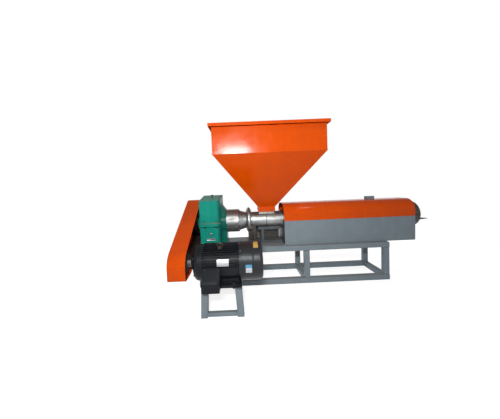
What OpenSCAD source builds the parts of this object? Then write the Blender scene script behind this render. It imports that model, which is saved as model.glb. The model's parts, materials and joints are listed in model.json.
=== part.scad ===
// Plastic pelletizing extruder on a welded tube frame, with a belt drive, a feed hopper and a covered barrel.
// Millimetres. +Z is up, +X runs from the drive end to the die end, and the motor stands on the -Y side.
// Lengths along X are measured from the left end of the base frame, lengths along Y from the screw axis.
// The whole machine is then moved so that the origin lies on the floor, in the middle of its bounding box.

/* [Base frame] */
// Length of the base frame
frame_length = 2136; // [2000:1:2300]
// Width of the base frame
frame_width = 460; // [420:1:520]
// Height of the base frame
frame_height = 430; // [380:1:480]
// Side of the square tube
tube_size = 60; // [50:1:66]
// Corner radius of the square tube
tube_corner = 8; // [4:0.5:12]
// Left face of the middle legs
middle_leg = 1182; // [1100:1:1260]
// Thickness of the deck plate
deck_thickness = 10; // [6:0.5:14]
// Length of the deck plate
deck_length = 976; // [950:1:1000]

/* [Motor stand] */
// Distance of the stand's front face from the frame
stand_reach = 538; // [520:1:580]
// Height of the motor feet above the floor
stand_height = 240; // [215:1:270]
// Left side of the stand at its top
stand_left = 132; // [120:1:145]
// Width of the stand at its top
stand_width = 351; // [340:1:365]
// Outward lean of each leg at the floor
stand_splay = 12; // [6:0.5:20]
// Side of the floor rail between the legs
stand_rail = 38; // [30:1:45]

/* [Motor] */
// Distance of the motor axis from the frame
motor_reach = 330; // [320:1:350]
// Height of the motor axis above its feet
motor_axis_height = 180; // [178:1:190]
// Left face of the drive-end shield
motor_left = 24; // [20:1:30]
// Length of the drive-end shield
shield_length = 116; // [100:1:120]
// Length of the finned body
motor_body_length = 318; // [310:1:330]
// Radius of the body under the fins
motor_core = 150; // [140:1:154]
// Radius over the fins
fin_radius = 172; // [166:1:174]
// Thickness of a fin
fin_thickness = 4; // [3:0.5:5]
// Angle from one fin to the next
fin_step = 8; // [7.5:0.5:10]
// Outer radius of the fan cowl
cowl_radius = 177; // [174:1:178]
// Length of the fan cowl
cowl_length = 213; // [200:1:225]
// Rounding of the cowl's end
cowl_round = 26; // [15:1:40]
// Number of slot rings in the cowl's grille
grille_rings = 5; // [3:1:6]
// Width of a grille slot
grille_slot = 11; // [8:0.5:13]
// Width of the terminal box
terminal_width = 150; // [130:1:165]
// Left side of the terminal box
terminal_left = 151; // [145:1:158]
// Distance of the terminal box face from the motor axis
terminal_reach = 285; // [265:1:300]
// Shaft radius of the motor and the gearbox
shaft_radius = 24; // [20:0.5:28]
// Lean of the lifting eye from the horizontal
eye_angle = 60; // [50:1:70]

/* [Belt drive] */
// Outer radius of the motor pulley
motor_pulley_radius = 95; // [80:1:105]
// Outer radius of the gearbox pulley
gear_pulley_radius = 200; // [185:1:210]
// Number of belts
belt_count = 4; // [2:1:5]
// Distance from belt to belt
belt_pitch = 22; // [19:0.5:24]
// Width of a belt
belt_width = 14; // [12:0.5:16]
// Thickness of a belt
belt_thickness = 11; // [9:0.5:13]
// Distance of the gearbox pulley's axis behind the screw axis
input_offset = 150; // [140:1:165]
// Width of the belt guard
guard_width = 161; // [150:1:175]
// Gap between the belt guard and the frame
guard_gap = 6; // [4:0.5:12]
// Space between a pulley and the guard
guard_clearance = 60; // [45:1:70]
// Gap between the motor pulley and the guard's underside
guard_low_gap = 23; // [18:1:30]
// Distance of the guard's upright front from the motor axis
guard_front = 164; // [155:1:175]
// Bend radius between the guard's slanting side and its upright front
guard_bend = 156; // [140:1:165]
// Radius of the guard's lower front edge
guard_corner = 18; // [10:1:30]
// Sheet thickness of the guard, hopper and cover
sheet = 3; // [2:0.5:5]

/* [Gearbox] */
// Left side of the gear case
gearbox_left = 11; // [8:1:16]
// Length of the gear case along the screw axis
gearbox_length = 244; // [230:1:260]
// Distance of the case front from the screw axis
gearbox_front = 140; // [130:1:150]
// Distance of the case back from the screw axis
gearbox_back = 245; // [235:1:270]
// Rise of the case's front shoulder above the screw axis
shoulder_rise = 257; // [235:1:275]
// Rise of the case's roof above its shoulder
roof_rise = 49; // [35:1:70]
// Thickness of the lower split flange
split_lower = 38; // [25:1:50]
// Thickness of the upper split flange
split_upper = 20; // [14:1:30]
// Overhang of the split flange
split_overhang = 23; // [16:1:25]

/* [Screw and barrel] */
// Height of the screw axis above the frame
axis_rise = 277; // [260:1:300]
// Radius of the thrust housing
thrust_radius = 135; // [125:1:145]
// Left end of the thrust housing
thrust_left = 320; // [310:1:330]
// Right end of the thrust housing
thrust_right = 462; // [450:1:475]
// Small end radius of the housing's cone
cone_radius = 102; // [96:1:112]
// Right end of the housing's cone
cone_right = 522; // [515:1:535]
// Radius of the ring flange
ring_radius = 150; // [140:1:160]
// Left face of the ring flange
ring_left = 550; // [545:1:558]
// Right face of the ring flange
ring_right = 605; // [598:1:612]
// Radius of the feed section
feed_radius = 95; // [90:0.5:97]
// Radius of the heated barrel
barrel_radius = 98; // [97.5:0.5:104]
// Bore radius of the feed section
bore_radius = 60; // [52:0.5:66]
// Pitch of the screw flight
screw_pitch = 112; // [95:1:130]

/* [Hopper] */
// Middle of the hopper
hopper_middle = 794; // [784:1:800]
// Half the inside-to-outside size of the bin
bin_half = 542; // [510:1:570]
// Height of the bin's upright walls
bin_height = 284; // [250:1:320]
// Height of the funnel
funnel_height = 558; // [520:1:600]
// Half the size of the neck
neck_half = 98; // [90:1:102]
// Height of the neck
neck_height = 57; // [45:1:70]
// Distance of the neck's lower end from the feed section
neck_lift = 7; // [4:1:14]
// Overhang of the rim
rim_overhang = 27; // [18:1:40]
// Height of the rim
rim_height = 30; // [20:1:45]

/* [Barrel cover] */
// Gap between the deck plate and the barrel cover
deck_gap = 1; // [0.5:0.1:5]
// Right end of the barrel cover
cover_right = 2458; // [2400:1:2500]
// Half the width of the barrel cover
cover_half = 190; // [180:1:205]
// Radius of the cover's shoulders
shoulder_radius = 125; // [100:1:150]
// Left end of the lifting bracket on the ridge
bracket_left = 2005; // [1900:1:2100]
// Length of the lifting bracket
bracket_length = 100; // [80:1:130]
// Height of the lifting bracket
bracket_height = 36; // [28:1:45]
// Depth of the lifting bracket
bracket_depth = 42; // [32:1:60]

/* [Die head] */
// Radius of the head flange
head_radius = 150; // [140:1:165]
// Thickness of the head flange
head_thickness = 105; // [85:1:120]
// Number of strand holes in the die plate
strand_holes = 12; // [8:2:16]
// Radius of a strand hole
strand_radius = 4; // [3:0.5:5]
// Length of the head's lever
lever_length = 100; // [80:1:120]

/* [Hidden] */
$fn = 96;
// Y of the frame's faces
frame_front = -frame_width / 2;
frame_back = frame_width / 2;
deck_top = frame_height + deck_thickness;
axis_height = frame_height + axis_rise;
// Left end of the barrel cover, right behind the deck plate
cover_left = deck_length + deck_gap;
// Motor stand
stand_front = frame_front - stand_reach;
stand_lean = atan(stand_splay / stand_height);
stand_legs = [stand_left + tube_size / 2, stand_left + stand_width - tube_size / 2];
// Motor axis and the ends of the motor's parts
motor_y = frame_front - motor_reach;
motor_z = stand_height + motor_axis_height;
body_left = motor_left + shield_length;
body_right = body_left + motor_body_length;
cowl_left = body_right + 7;
cowl_right = cowl_left + cowl_length;
rear_shield_right = body_right + 28;
nose_radius = 66;
nose_edge = 6;
nose_depth = 18;
dome_depth = 46;
dome_width = 60;
shield_radius = fin_radius - 6;
fan_gap = 50;
fan_depth = 60;
fan_radius = 120;
fan_hub = 44;
fan_blade = 6;
fan_shaft = shaft_radius - 4;
grille_first = 38;
grille_pitch = 22;
terminal_front = motor_y - terminal_reach;
terminal_foot = stand_height + 13;
// Belt drive
belt_drop = 1.5;
guard_left = -guard_gap - guard_width;
guard_right = -guard_gap;
guard_small = motor_pulley_radius + guard_clearance;
guard_low = motor_pulley_radius + guard_low_gap;
guard_large = gear_pulley_radius + guard_clearance;
pulley_width = belt_count * belt_pitch + 10;
pulley_right = guard_right - 18;
pulley_left = pulley_right - pulley_width;
drive_axes = [[motor_y, motor_z], [input_offset, axis_height]];
arc_steps = 36;
strap_long = 50;
strap_thick = 8;
strap_inset = 60;
strap_back = 20;
// Gearbox
gearbox_right = gearbox_left + gearbox_length;
gearbox_shoulder = axis_height + shoulder_rise;
gearbox_roof = gearbox_shoulder + roof_rise;
case_round = 16;
roof_slope = atan((gearbox_roof - gearbox_shoulder) / (gearbox_front + gearbox_back - 40));
flange_reach = split_overhang - 12;
cone_cut = 30;
boss_radius = 72;
boss_left = gearbox_left - flange_reach - 3;
cap_radius = 62;
cap_depth = 12;
// Supports under the barrel
end_flange_length = 22;
pad_top = deck_top + 25;
pad_half = 85;
pad_left = ring_left + 5;
pad_right = deck_length - 5;
stool_size = 36;
stool_bar = 32;
stool_gap = 80;
stool_left = ring_right + stool_gap;
stool_right = cover_left - end_flange_length - 2;
stool_offset = 40;
stool_lap = 12;
joint_step = 2;
stool_top = axis_height - feed_radius + stool_lap;
pedestal_half = 92;
pedestal_length = 85;
// Clearance of pieces that sit in or round each other
seat_gap = 0.3;
// Feed opening
neck_wall = 5;
neck_lap = 30;
throat_half = 70;
throat_depth = 52;
throat_side = 64;
// Hopper
neck_bottom = axis_height + feed_radius + joint_step + neck_lift;
funnel_bottom = neck_bottom + neck_height;
hopper_fold = funnel_bottom + funnel_height;
hopper_top = hopper_fold + bin_height;
wall_turn = atan((hopper_fold - funnel_bottom) / (bin_half - neck_half));
rim_half = bin_half + rim_overhang;
// Cover and die head
cover_bottom = frame_height;
cover_ridge = axis_height + cover_half;
head_right = cover_right + head_thickness;
plate_thickness = 12;
lever_y = -head_radius + 38;
lever_z = axis_height - 52;
// Box round the machine, from which the origin is set
x_least = guard_left;
x_most = head_right + lever_length;
y_least = min(stand_front, terminal_front, -rim_half);
y_most = max(rim_half, input_offset + guard_large);
x_middle = (x_least + x_most) / 2;
y_middle = (y_least + y_most) / 2;

frame_paint = [0.47, 0.52, 0.55];
orange_paint = [0.85, 0.33, 0.07];
green_paint = [0.08, 0.52, 0.45];
motor_paint = [0.12, 0.13, 0.14];
steel = [0.66, 0.66, 0.64];
dark_steel = [0.25, 0.25, 0.26];
rubber = [0.07, 0.07, 0.07];

// Shared shapes

// Block between two corners
module block(low, high) {
    translate(low)
        cube(high - low);
}

// Rectangle about the origin with round corners
module rounded_rect(w, h, r) {
    square([w - 2 * r, h], center = true);
    square([w, h - 2 * r], center = true);
    for (sx = [-1, 1])
        for (sy = [-1, 1])
            translate([sx * (w / 2 - r), sy * (h / 2 - r)])
                circle(r);
}

// Points along an arc about a centre
function arc(centre, radius, from, to) = [
    for (i = [0 : arc_steps])
        centre + radius * [cos(from + (to - from) * i / arc_steps), sin(from + (to - from) * i / arc_steps)]
];

// Drawing in Y and Z pulled along X
module along_x(left, length) {
    translate([left, 0, 0])
        rotate([90, 0, 90])
            linear_extrude(length)
                children();
}

// Drawing in X and Z pulled along Y
module along_y(front, length) {
    translate([0, front + length, 0])
        rotate([90, 0, 0])
            linear_extrude(length)
                children();
}

// Round bar along X
module rod_x(left, right, r) {
    translate([left, 0, 0])
        rotate([0, 90, 0])
            cylinder(h = right - left, r = r);
}

// Profile of radius and X turned about the X axis
module turned(profile) {
    rotate([0, 90, 0])
        rotate_extrude()
            polygon(profile);
}

// Square tube section
module tube_section(size) {
    rounded_rect(size, size, tube_corner);
}

// Tube along X whose outer side faces -Y and whose ends are mitred
module mitred_rail(length) {
    intersection() {
        along_x(0, length)
            tube_section(tube_size);
        linear_extrude(2 * tube_size, center = true)
            polygon([
                [0, -tube_size / 2],
                [length, -tube_size / 2],
                [length - tube_size, tube_size / 2],
                [tube_size, tube_size / 2]
            ]);
    }
}

// Children at both sides of the screw axis
module both_sides() {
    children();
    mirror([0, 1, 0])
        children();
}

// Children moved to the motor axis
module on_motor() {
    translate([0, motor_y, motor_z])
        children();
}

// Children moved to the screw axis
module on_axis() {
    translate([0, 0, axis_height])
        children();
}

// Base frame

module frame_long_rails() {
    color(frame_paint)
        for (z = [tube_size / 2, frame_height - tube_size / 2])
            both_sides()
                translate([0, frame_front + tube_size / 2, z])
                    mitred_rail(frame_length);
}

module frame_end_rails() {
    color(frame_paint)
        for (z = [tube_size / 2, frame_height - tube_size / 2]) {
            translate([tube_size / 2, frame_back, z])
                rotate([0, 0, -90])
                    mitred_rail(frame_width);
            translate([frame_length - tube_size / 2, frame_front, z])
                rotate([0, 0, 90])
                    mitred_rail(frame_width);
        }
}

// Six legs, and two posts in the front that carry the motor stand's arms
module frame_legs() {
    leg = frame_height - 2 * tube_size;
    color(frame_paint) {
        both_sides()
            for (x = [0, middle_leg, frame_length - tube_size])
                translate([x + tube_size / 2, frame_front + tube_size / 2, tube_size])
                    linear_extrude(leg)
                        tube_section(tube_size);
        for (x = stand_legs)
            translate([x, frame_front + tube_size / 2, tube_size])
                linear_extrude(leg)
                    tube_section(tube_size);
    }
}

module frame_cross_rails() {
    span = frame_width - 2 * tube_size;
    color(frame_paint) {
        for (z = [tube_size / 2, frame_height - tube_size / 2])
            translate([middle_leg + tube_size / 2, 0, z])
                along_y(-span / 2, span)
                    tube_section(tube_size);
        translate([(ring_left + ring_right) / 2, 0, frame_height - tube_size / 2])
            along_y(-span / 2, span)
                tube_section(tube_size);
    }
}

module deck_plate() {
    color(frame_paint)
        block([0, frame_front, frame_height], [deck_length, frame_back, deck_top]);
}

// Motor stand

// Leaning leg before its ends are cut level
module leaning_leg(x, side) {
    translate([x, stand_front + tube_size / 2, stand_height])
        rotate([0, side * stand_lean, 0])
            translate([0, 0, -2 * stand_height])
                linear_extrude(3 * stand_height)
                    tube_section(tube_size);
}

module motor_stand_legs() {
    reach = 2 * tube_size;
    color(frame_paint)
        for (side = [-1, 1])
            intersection() {
                leaning_leg(stand_legs[side < 0 ? 1 : 0], side);
                block(
                    [stand_left - reach, stand_front - reach, 0],
                    [stand_left + stand_width + reach, stand_front + reach, stand_height]
                );
            }
}

module motor_stand_arms() {
    color(frame_paint)
        for (x = stand_legs)
            translate([x, 0, stand_height - tube_size / 2])
                along_y(stand_front + tube_size, stand_reach - tube_size)
                    tube_section(tube_size);
}

module motor_stand_rail() {
    color(frame_paint)
        difference() {
            translate([0, stand_front + 12 + stand_rail / 2, stand_rail / 2])
                along_x(stand_legs[0] - stand_splay, stand_legs[1] - stand_legs[0] + 2 * stand_splay)
                    tube_section(stand_rail);
            leaning_leg(stand_legs[0], 1);
            leaning_leg(stand_legs[1], -1);
        }
}

// Motor

// Cast body with cooling fins all round, except over the feet
module motor_body() {
    foot_out = 175;
    foot_in = 102;
    foot_high = 24;
    web_out = 126;
    fins_from = -42;
    fins_to = 174;
    pad_from = 180;
    pad_to = 236;
    color(motor_paint)
        on_motor() {
            along_x(body_left, motor_body_length)
                union() {
                    circle(motor_core);
                    for (a = [fins_from : fin_step : fins_to])
                        rotate(a)
                            translate([motor_core - 5, -fin_thickness / 2])
                                square([fin_radius - motor_core + 5, fin_thickness]);
                    // smooth pad under the name plate and the terminal box
                    polygon(concat(
                        arc([0, 0], fin_radius, pad_from, pad_to),
                        arc([0, 0], motor_core - 5, pad_to, pad_from)
                    ));
                }
            for (side = [-1, 1]) {
                along_x(stand_left, stand_width)
                    polygon([
                        [side * foot_in, -motor_axis_height],
                        [side * foot_out, -motor_axis_height],
                        [side * foot_out, foot_high - motor_axis_height],
                        [side * foot_in, foot_high - motor_axis_height]
                    ]);
                along_x(body_left, motor_body_length)
                    polygon([
                        [side * foot_in, -motor_axis_height],
                        [side * web_out, -motor_axis_height],
                        [side * web_out, -motor_core / 2],
                        [side * foot_in, -motor_core / 2]
                    ]);
            }
        }
}

module motor_drive_shield() {
    color(motor_paint)
        on_motor()
            turned([
                [shaft_radius + seat_gap, motor_left],
                [nose_radius, motor_left],
                [nose_radius + nose_edge, motor_left + nose_edge],
                [nose_radius + nose_edge, motor_left + nose_depth],
                [shield_radius - dome_width, motor_left + nose_depth + nose_edge],
                for (a = [75 : -15 : 0])
                    [
                        shield_radius - dome_width + dome_width * cos(a),
                        motor_left + nose_depth + nose_edge + dome_depth * (1 - sin(a))
                    ],
                [shield_radius, body_left],
                [shaft_radius + seat_gap, body_left]
            ]);
}

module motor_rear_shield() {
    inside = cowl_radius - sheet - seat_gap;
    color(motor_paint)
        on_motor()
            turned([
                [0, body_right],
                [shield_radius, body_right],
                [shield_radius, cowl_left],
                [inside, cowl_left],
                [inside, rear_shield_right],
                [0, rear_shield_right]
            ]);
}

// Sheet cowl with a grille of ring slots in its end
module motor_fan_cowl() {
    inside = cowl_radius - sheet;
    color(motor_paint)
        on_motor()
            difference() {
                union() {
                    rod_x(cowl_left, cowl_right - cowl_round, cowl_radius);
                    turned([
                        for (a = [0 : 10 : 90])
                            [
                                cowl_radius - cowl_round + cowl_round * cos(a),
                                cowl_right - cowl_round + cowl_round * sin(a)
                            ],
                        [0, cowl_right],
                        [0, cowl_right - cowl_round]
                    ]);
                }
                rod_x(cowl_left - 1, cowl_right - cowl_round, inside);
                rod_x(cowl_right - cowl_round - 1, cowl_right - sheet, inside - cowl_round + 12);
                along_x(cowl_right - sheet - 1, sheet + 2)
                    grille_slots();
            }
}

// Ring slots between four spokes
module grille_slots() {
    difference() {
        for (i = [0 : grille_rings - 1])
            difference() {
                circle(grille_first + i * grille_pitch + grille_slot);
                circle(grille_first + i * grille_pitch);
            }
        for (a = [0, 45, 90, 135])
            rotate(a)
                square([3 * cowl_radius, 12], center = true);
    }
}

module motor_fan() {
    blade_left = cowl_right - fan_gap - fan_depth;
    blade_right = cowl_right - fan_gap;
    color(motor_paint)
        on_motor() {
            rod_x(rear_shield_right, blade_left, fan_shaft);
            rod_x(blade_left, blade_right, fan_hub);
            along_x(blade_left, fan_depth)
                for (a = [0 : 45 : 315])
                    rotate(a)
                        translate([fan_hub - fan_blade, -fan_blade / 2])
                            square([fan_radius - fan_hub + fan_blade, fan_blade]);
        }
}

// Box with a sloping lid on the motor's front side
module motor_terminal_box() {
    lid_low = terminal_foot + 71;
    lid_high = motor_z;
    lid_back = terminal_front + 115;
    color(motor_paint)
        difference() {
            along_x(terminal_left, terminal_width)
                polygon([
                    [terminal_front, terminal_foot],
                    [terminal_front, lid_low],
                    [lid_back, lid_high],
                    [motor_y - motor_core / 2, lid_high],
                    [motor_y - motor_core / 2, terminal_foot]
                ]);
            on_motor()
                rod_x(terminal_left - 1, terminal_left + terminal_width + 1, fin_radius + seat_gap);
            // room for the foot below the body
            block(
                [terminal_left - 1, motor_y - 176, stand_height],
                [terminal_left + terminal_width + 1, motor_y, stand_height + 100]
            );
        }
}

module motor_lifting_eye() {
    ring = 24;
    wire = 8;
    color(steel)
        on_motor()
            translate([(body_left + body_right) / 2, 0, 0])
                rotate([90 - eye_angle, 0, 0])
                    translate([0, 0, fin_radius]) {
                        cylinder(h = 14, r = 22);
                        translate([0, 0, 14 + ring - 2])
                            rotate([90, 0, 0])
                                rotate_extrude()
                                    translate([ring, 0])
                                        circle(wire);
                    }
}

module motor_shaft() {
    color(steel)
        on_motor()
            rod_x(pulley_left - 6, body_left, shaft_radius);
}

// Belt drive

// Outline round both drive axes, the shape of a belt pulled tight over two wheels
module drive_outline(small, large) {
    span = drive_axes[1] - drive_axes[0];
    slope = atan2(span[1], span[0]);
    turn = 90 + asin((large - small) / norm(span));
    up = [cos(slope + turn), sin(slope + turn)];
    down = [cos(slope - turn), sin(slope - turn)];
    translate(drive_axes[0])
        circle(small);
    translate(drive_axes[1])
        circle(large);
    polygon([
        drive_axes[0] + small * up,
        drive_axes[1] + large * up,
        drive_axes[1] + large * down,
        drive_axes[0] + small * down
    ]);
}

// Outline of the guard: sharp upper corner, slanting side, bend, upright front and flat underside
module guard_outline(inset) {
    large = guard_large - inset;
    span = drive_axes[1] - drive_axes[0];
    slope = atan2(span[1], span[0]);
    turn = 90 + asin((guard_large - guard_small) / norm(span));
    turn_low = 90 + asin((guard_large - guard_low) / norm(span));
    out = [cos(slope + turn), sin(slope + turn)];
    under = [cos(slope - turn_low), sin(slope - turn_low)];
    touch = drive_axes[1] + large * out;
    top = axis_height + large;
    corner = touch[0] + (top - touch[1]) / tan(slope + turn - 90);
    front = motor_y - guard_front;
    bottom = motor_z + guard_low * under[1];
    bend_y = front + guard_bend;
    bend_z = (drive_axes[1] * out + guard_large - guard_bend - out[0] * bend_y) / out[1];
    polygon(concat(
        arc([bend_y, bend_z], guard_bend - inset, slope + turn, 180),
        arc([front + guard_corner, bottom + guard_corner], guard_corner - inset, 180, 270),
        [drive_axes[0] + (guard_low - inset) * under],
        arc(drive_axes[1], large, slope - turn_low, 90),
        [[corner, top]]
    ));
}

// Grooved wheel, drawn about the X axis
module pulley(radius) {
    first = pulley_left + (pulley_width - (belt_count - 1) * belt_pitch) / 2;
    root = radius - belt_thickness - belt_drop - seat_gap;
    difference() {
        rod_x(pulley_left, pulley_right, radius);
        for (i = [0 : belt_count - 1])
            turned([
                [root, first + i * belt_pitch - belt_width / 2 - seat_gap],
                [radius + 1, first + i * belt_pitch - belt_width / 2 - 2],
                [radius + 1, first + i * belt_pitch + belt_width / 2 + 2],
                [root, first + i * belt_pitch + belt_width / 2 + seat_gap]
            ]);
        rod_x(pulley_left - 1, pulley_right + 1, shaft_radius + 0.05);
    }
}

module motor_pulley() {
    color(dark_steel)
        on_motor()
            pulley(motor_pulley_radius);
}

// Large pulley with a dished web and a hub
module gearbox_pulley() {
    dish = 24;
    color(dark_steel)
        translate([0, input_offset, axis_height])
            difference() {
                pulley(gear_pulley_radius);
                turned([
                    [58, pulley_right - dish],
                    [gear_pulley_radius - 40, pulley_right - dish],
                    [gear_pulley_radius - 34, pulley_right + 1],
                    [52, pulley_right + 1]
                ]);
            }
}

module drive_belts() {
    first = pulley_left + (pulley_width - (belt_count - 1) * belt_pitch) / 2;
    out_small = motor_pulley_radius - belt_drop;
    out_large = gear_pulley_radius - belt_drop;
    color(rubber)
        for (i = [0 : belt_count - 1])
            along_x(first + i * belt_pitch - belt_width / 2, belt_width)
                difference() {
                    drive_outline(out_small, out_large);
                    drive_outline(out_small - belt_thickness, out_large - belt_thickness);
                }
}

module guard_rim() {
    color(orange_paint)
        along_x(guard_left + sheet, guard_width - sheet)
            difference() {
                guard_outline(0);
                guard_outline(sheet);
            }
}

module guard_side() {
    color(orange_paint)
        along_x(guard_left, sheet)
            guard_outline(0);
}

// Two straps on the frame's left end, under the slanting lower side of the guard
module guard_brackets() {
    span = drive_axes[1] - drive_axes[0];
    slope = atan2(span[1], span[0]) - asin((guard_large - guard_low) / norm(span));
    start = drive_axes[0] + guard_low * [sin(slope), -cos(slope)];
    color(frame_paint)
        for (y = [frame_front + tube_corner, strap_back])
            translate([guard_left + strap_inset, y, start[1] + (y - start[0]) * tan(slope)])
                rotate([slope, 0, 0])
                    block([0, 0, -strap_thick], [-guard_left - strap_inset, strap_long, 0]);
}

// Gearbox

// Outline of the gear case seen from above, wider by a lip at its ends and at its front and back
module case_plan(end_lip, side_lip) {
    length = gearbox_front + gearbox_back;
    translate([(gearbox_left + gearbox_right) / 2, (gearbox_back - gearbox_front) / 2])
        rounded_rect(gearbox_length + 2 * end_lip, length + 2 * side_lip, case_round + end_lip / 2);
}

// Round bearing bosses on the left wall, cut at the split plane
module left_bosses(low, high) {
    intersection() {
        for (y = [0, input_offset])
            translate([0, y, axis_height])
                rod_x(boss_left, gearbox_left + 1, boss_radius);
        block([boss_left, -gearbox_front - 100, low], [gearbox_left + 1, gearbox_back + 100, high]);
    }
}

module gearbox_lower_case() {
    foot = 26;
    case_side = 12;
    half = 92;
    color(green_paint)
        union() {
            translate([0, 0, deck_top])
                linear_extrude(axis_height - deck_top)
                    case_plan(0, 0);
            translate([0, 0, axis_height - split_lower])
                linear_extrude(split_lower)
                    case_plan(flange_reach, split_overhang);
            block(
                [gearbox_left - 6, -gearbox_front - case_side, deck_top],
                [gearbox_right + 30, frame_back, deck_top + foot]
            );
            left_bosses(deck_top, axis_height);
            // block under the output bearing
            block([gearbox_right - 20, -half, deck_top], [thrust_left, half, axis_height]);
            intersection() {
                on_axis()
                    rod_x(gearbox_right - 20, thrust_left, thrust_radius);
                block([0, -300, deck_top], [thrust_left, 300, axis_height]);
            }
        }
}

module gearbox_upper_case() {
    color(green_paint)
        difference() {
            union() {
                translate([0, 0, axis_height])
                    linear_extrude(gearbox_roof - axis_height)
                        case_plan(0, 0);
                translate([0, 0, axis_height])
                    linear_extrude(split_upper)
                        case_plan(flange_reach, split_overhang);
                left_bosses(axis_height, gearbox_shoulder);
                // cone round the output bearing, cut behind the front of the case
                intersection() {
                    on_axis()
                        turned([
                            [0, gearbox_right - 20],
                            [250, gearbox_right - 20],
                            [thrust_radius, thrust_left],
                            [0, thrust_left]
                        ]);
                    block(
                        [gearbox_right - 20, cone_cut - gearbox_front, axis_height],
                        [thrust_left, gearbox_back, gearbox_shoulder]
                    );
                }
                intersection() {
                    on_axis()
                        rod_x(gearbox_right - 20, thrust_left, thrust_radius);
                    block([0, -300, axis_height], [thrust_left, 300, gearbox_roof]);
                }
            }
            // sloping roof
            translate([0, -gearbox_front, gearbox_shoulder])
                rotate([roof_slope, 0, 0])
                    block([-100, -300, 0], [thrust_left + 100, 800, 300]);
        }
}

module gearbox_bearing_caps() {
    color(green_paint)
        for (y = [0, input_offset])
            translate([0, y, axis_height])
                difference() {
                    rod_x(boss_left - cap_depth, boss_left, cap_radius);
                    if (y == input_offset)
                        rod_x(boss_left - cap_depth - 1, boss_left + 1, shaft_radius + seat_gap);
                }
}

// Breather standing on the sloping roof
module gearbox_breather() {
    back = 244;
    color(dark_steel)
        translate([(gearbox_left + gearbox_right) / 2, -gearbox_front, gearbox_shoulder])
            rotate([roof_slope, 0, 0])
                translate([0, back, 0]) {
                    cylinder(h = 10, r = 9);
                    translate([0, 0, 10])
                        cylinder(h = 14, r = 15);
                }
}

module gearbox_input_shaft() {
    color(steel)
        translate([0, input_offset, axis_height])
            rod_x(pulley_left - 6, boss_left, shaft_radius);
}

// Screw and barrel

module thrust_housing() {
    color(steel)
        on_axis()
            turned([
                [0, thrust_left],
                [thrust_radius, thrust_left],
                [thrust_radius, thrust_right - 5],
                [thrust_radius - 5, thrust_right],
                [thrust_radius - 14, thrust_right],
                [cone_radius, cone_right],
                [cone_radius - 6, ring_left],
                [0, ring_left]
            ]);
}

module ring_flange() {
    color(steel)
        on_axis()
            turned([
                [0, ring_left],
                [cone_radius + 14, ring_left],
                [ring_radius - 4, ring_left + 18],
                [ring_radius, ring_left + 24],
                [ring_radius, ring_right - 14],
                [ring_radius - 5, ring_right - 8],
                [cone_radius + 12, ring_right],
                [0, ring_right]
            ]);
}

// Feed section with its bore, its feed opening on top, a joint groove and an end flange
module feed_section() {
    groove = hopper_middle - 4;
    color(steel)
        on_axis()
            difference() {
                union() {
                    rod_x(ring_right, cover_left, feed_radius);
                    rod_x(cover_left - end_flange_length, cover_left, feed_radius + 14);
                    rod_x(groove, cover_left, feed_radius + joint_step);
                }
                rod_x(ring_right, cover_left + 1, bore_radius);
                difference() {
                    rod_x(groove - 3, groove + 3, feed_radius + 20);
                    rod_x(groove - 4, groove + 4, feed_radius - 3);
                }
                block(
                    [hopper_middle - throat_half, -throat_depth, 0],
                    [hopper_middle + throat_half, throat_depth, feed_radius + 20]
                );
            }
}

// Block on the feed section that carries the hopper neck
module feed_throat() {
    outer = neck_half - neck_wall - seat_gap;
    throat_top = neck_bottom + neck_lap;
    color(steel)
        difference() {
            block(
                [hopper_middle - outer, -throat_side, axis_height + 20],
                [hopper_middle + outer, throat_side, throat_top]
            );
            on_axis()
                rod_x(hopper_middle - neck_half, hopper_middle + neck_half, feed_radius + joint_step);
            block(
                [hopper_middle - throat_half, -throat_depth, axis_height],
                [hopper_middle + throat_half, throat_depth, throat_top + 1]
            );
        }
}

// Screw, with flights where the feed opening shows it
module feed_screw() {
    flight_left = hopper_middle - 1.5 * throat_half;
    flight_right = hopper_middle + 1.5 * throat_half;
    flight_length = flight_right - flight_left;
    flight_thickness = 14;
    core = bore_radius - 20;
    color(steel)
        on_axis() {
            rod_x(ring_right, flight_left, core);
            translate([flight_left, 0, 0])
                rotate([90, 0, 90])
                    linear_extrude(flight_length, twist = -360 * flight_length / screw_pitch, slices = 30, $fn = 16)
                        union() {
                            circle(core, $fn = 16);
                            translate([0, -flight_thickness / 2])
                                square([bore_radius - 0.5, flight_thickness]);
                        }
            rod_x(flight_right, cover_left, core);
        }
}

module barrel() {
    color(steel)
        on_axis() {
            rod_x(cover_left, cover_right, barrel_radius);
        }
}

// Thick plate on the deck under the pedestal and the stool
module barrel_base() {
    color(frame_paint)
        block([pad_left, -pad_half, deck_top], [pad_right, pad_half, pad_top]);
}

// Cast foot under the ring flange, and a dark plate behind the stool
module barrel_pedestal() {
    top = axis_height - 40;
    plate_front = stool_offset + stool_size / 2;
    color(dark_steel) {
        difference() {
            along_x(ring_left + 20, pedestal_length)
                polygon([
                    [-pad_half, pad_top],
                    [pad_half, pad_top],
                    [pedestal_half, top],
                    [-pedestal_half, top]
                ]);
            on_axis() {
                rod_x(ring_left + 10, ring_right + seat_gap, ring_radius + 0.1);
                rod_x(ring_right, ring_left + 21 + pedestal_length, feed_radius + seat_gap);
            }
        }
        block(
            [stool_left + stool_size, plate_front, pad_top],
            [stool_right, plate_front + sheet, stool_top]
        );
    }
}

// Two bars on posts under the feed section
module barrel_stool() {
    bar_low = stool_top - stool_bar;
    half = stool_size / 2;
    post = stool_left + stool_size;
    color(frame_paint)
        for (y = [-stool_offset, stool_offset]) {
            difference() {
                block([stool_left, y - half, bar_low], [stool_right, y + half, stool_top]);
                on_axis()
                    rod_x(stool_left - 1, stool_right + 1, feed_radius + joint_step);
            }
            block([post, y - half, pad_top], [post + stool_size, y + half, bar_low]);
        }
}

// Hopper

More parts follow.
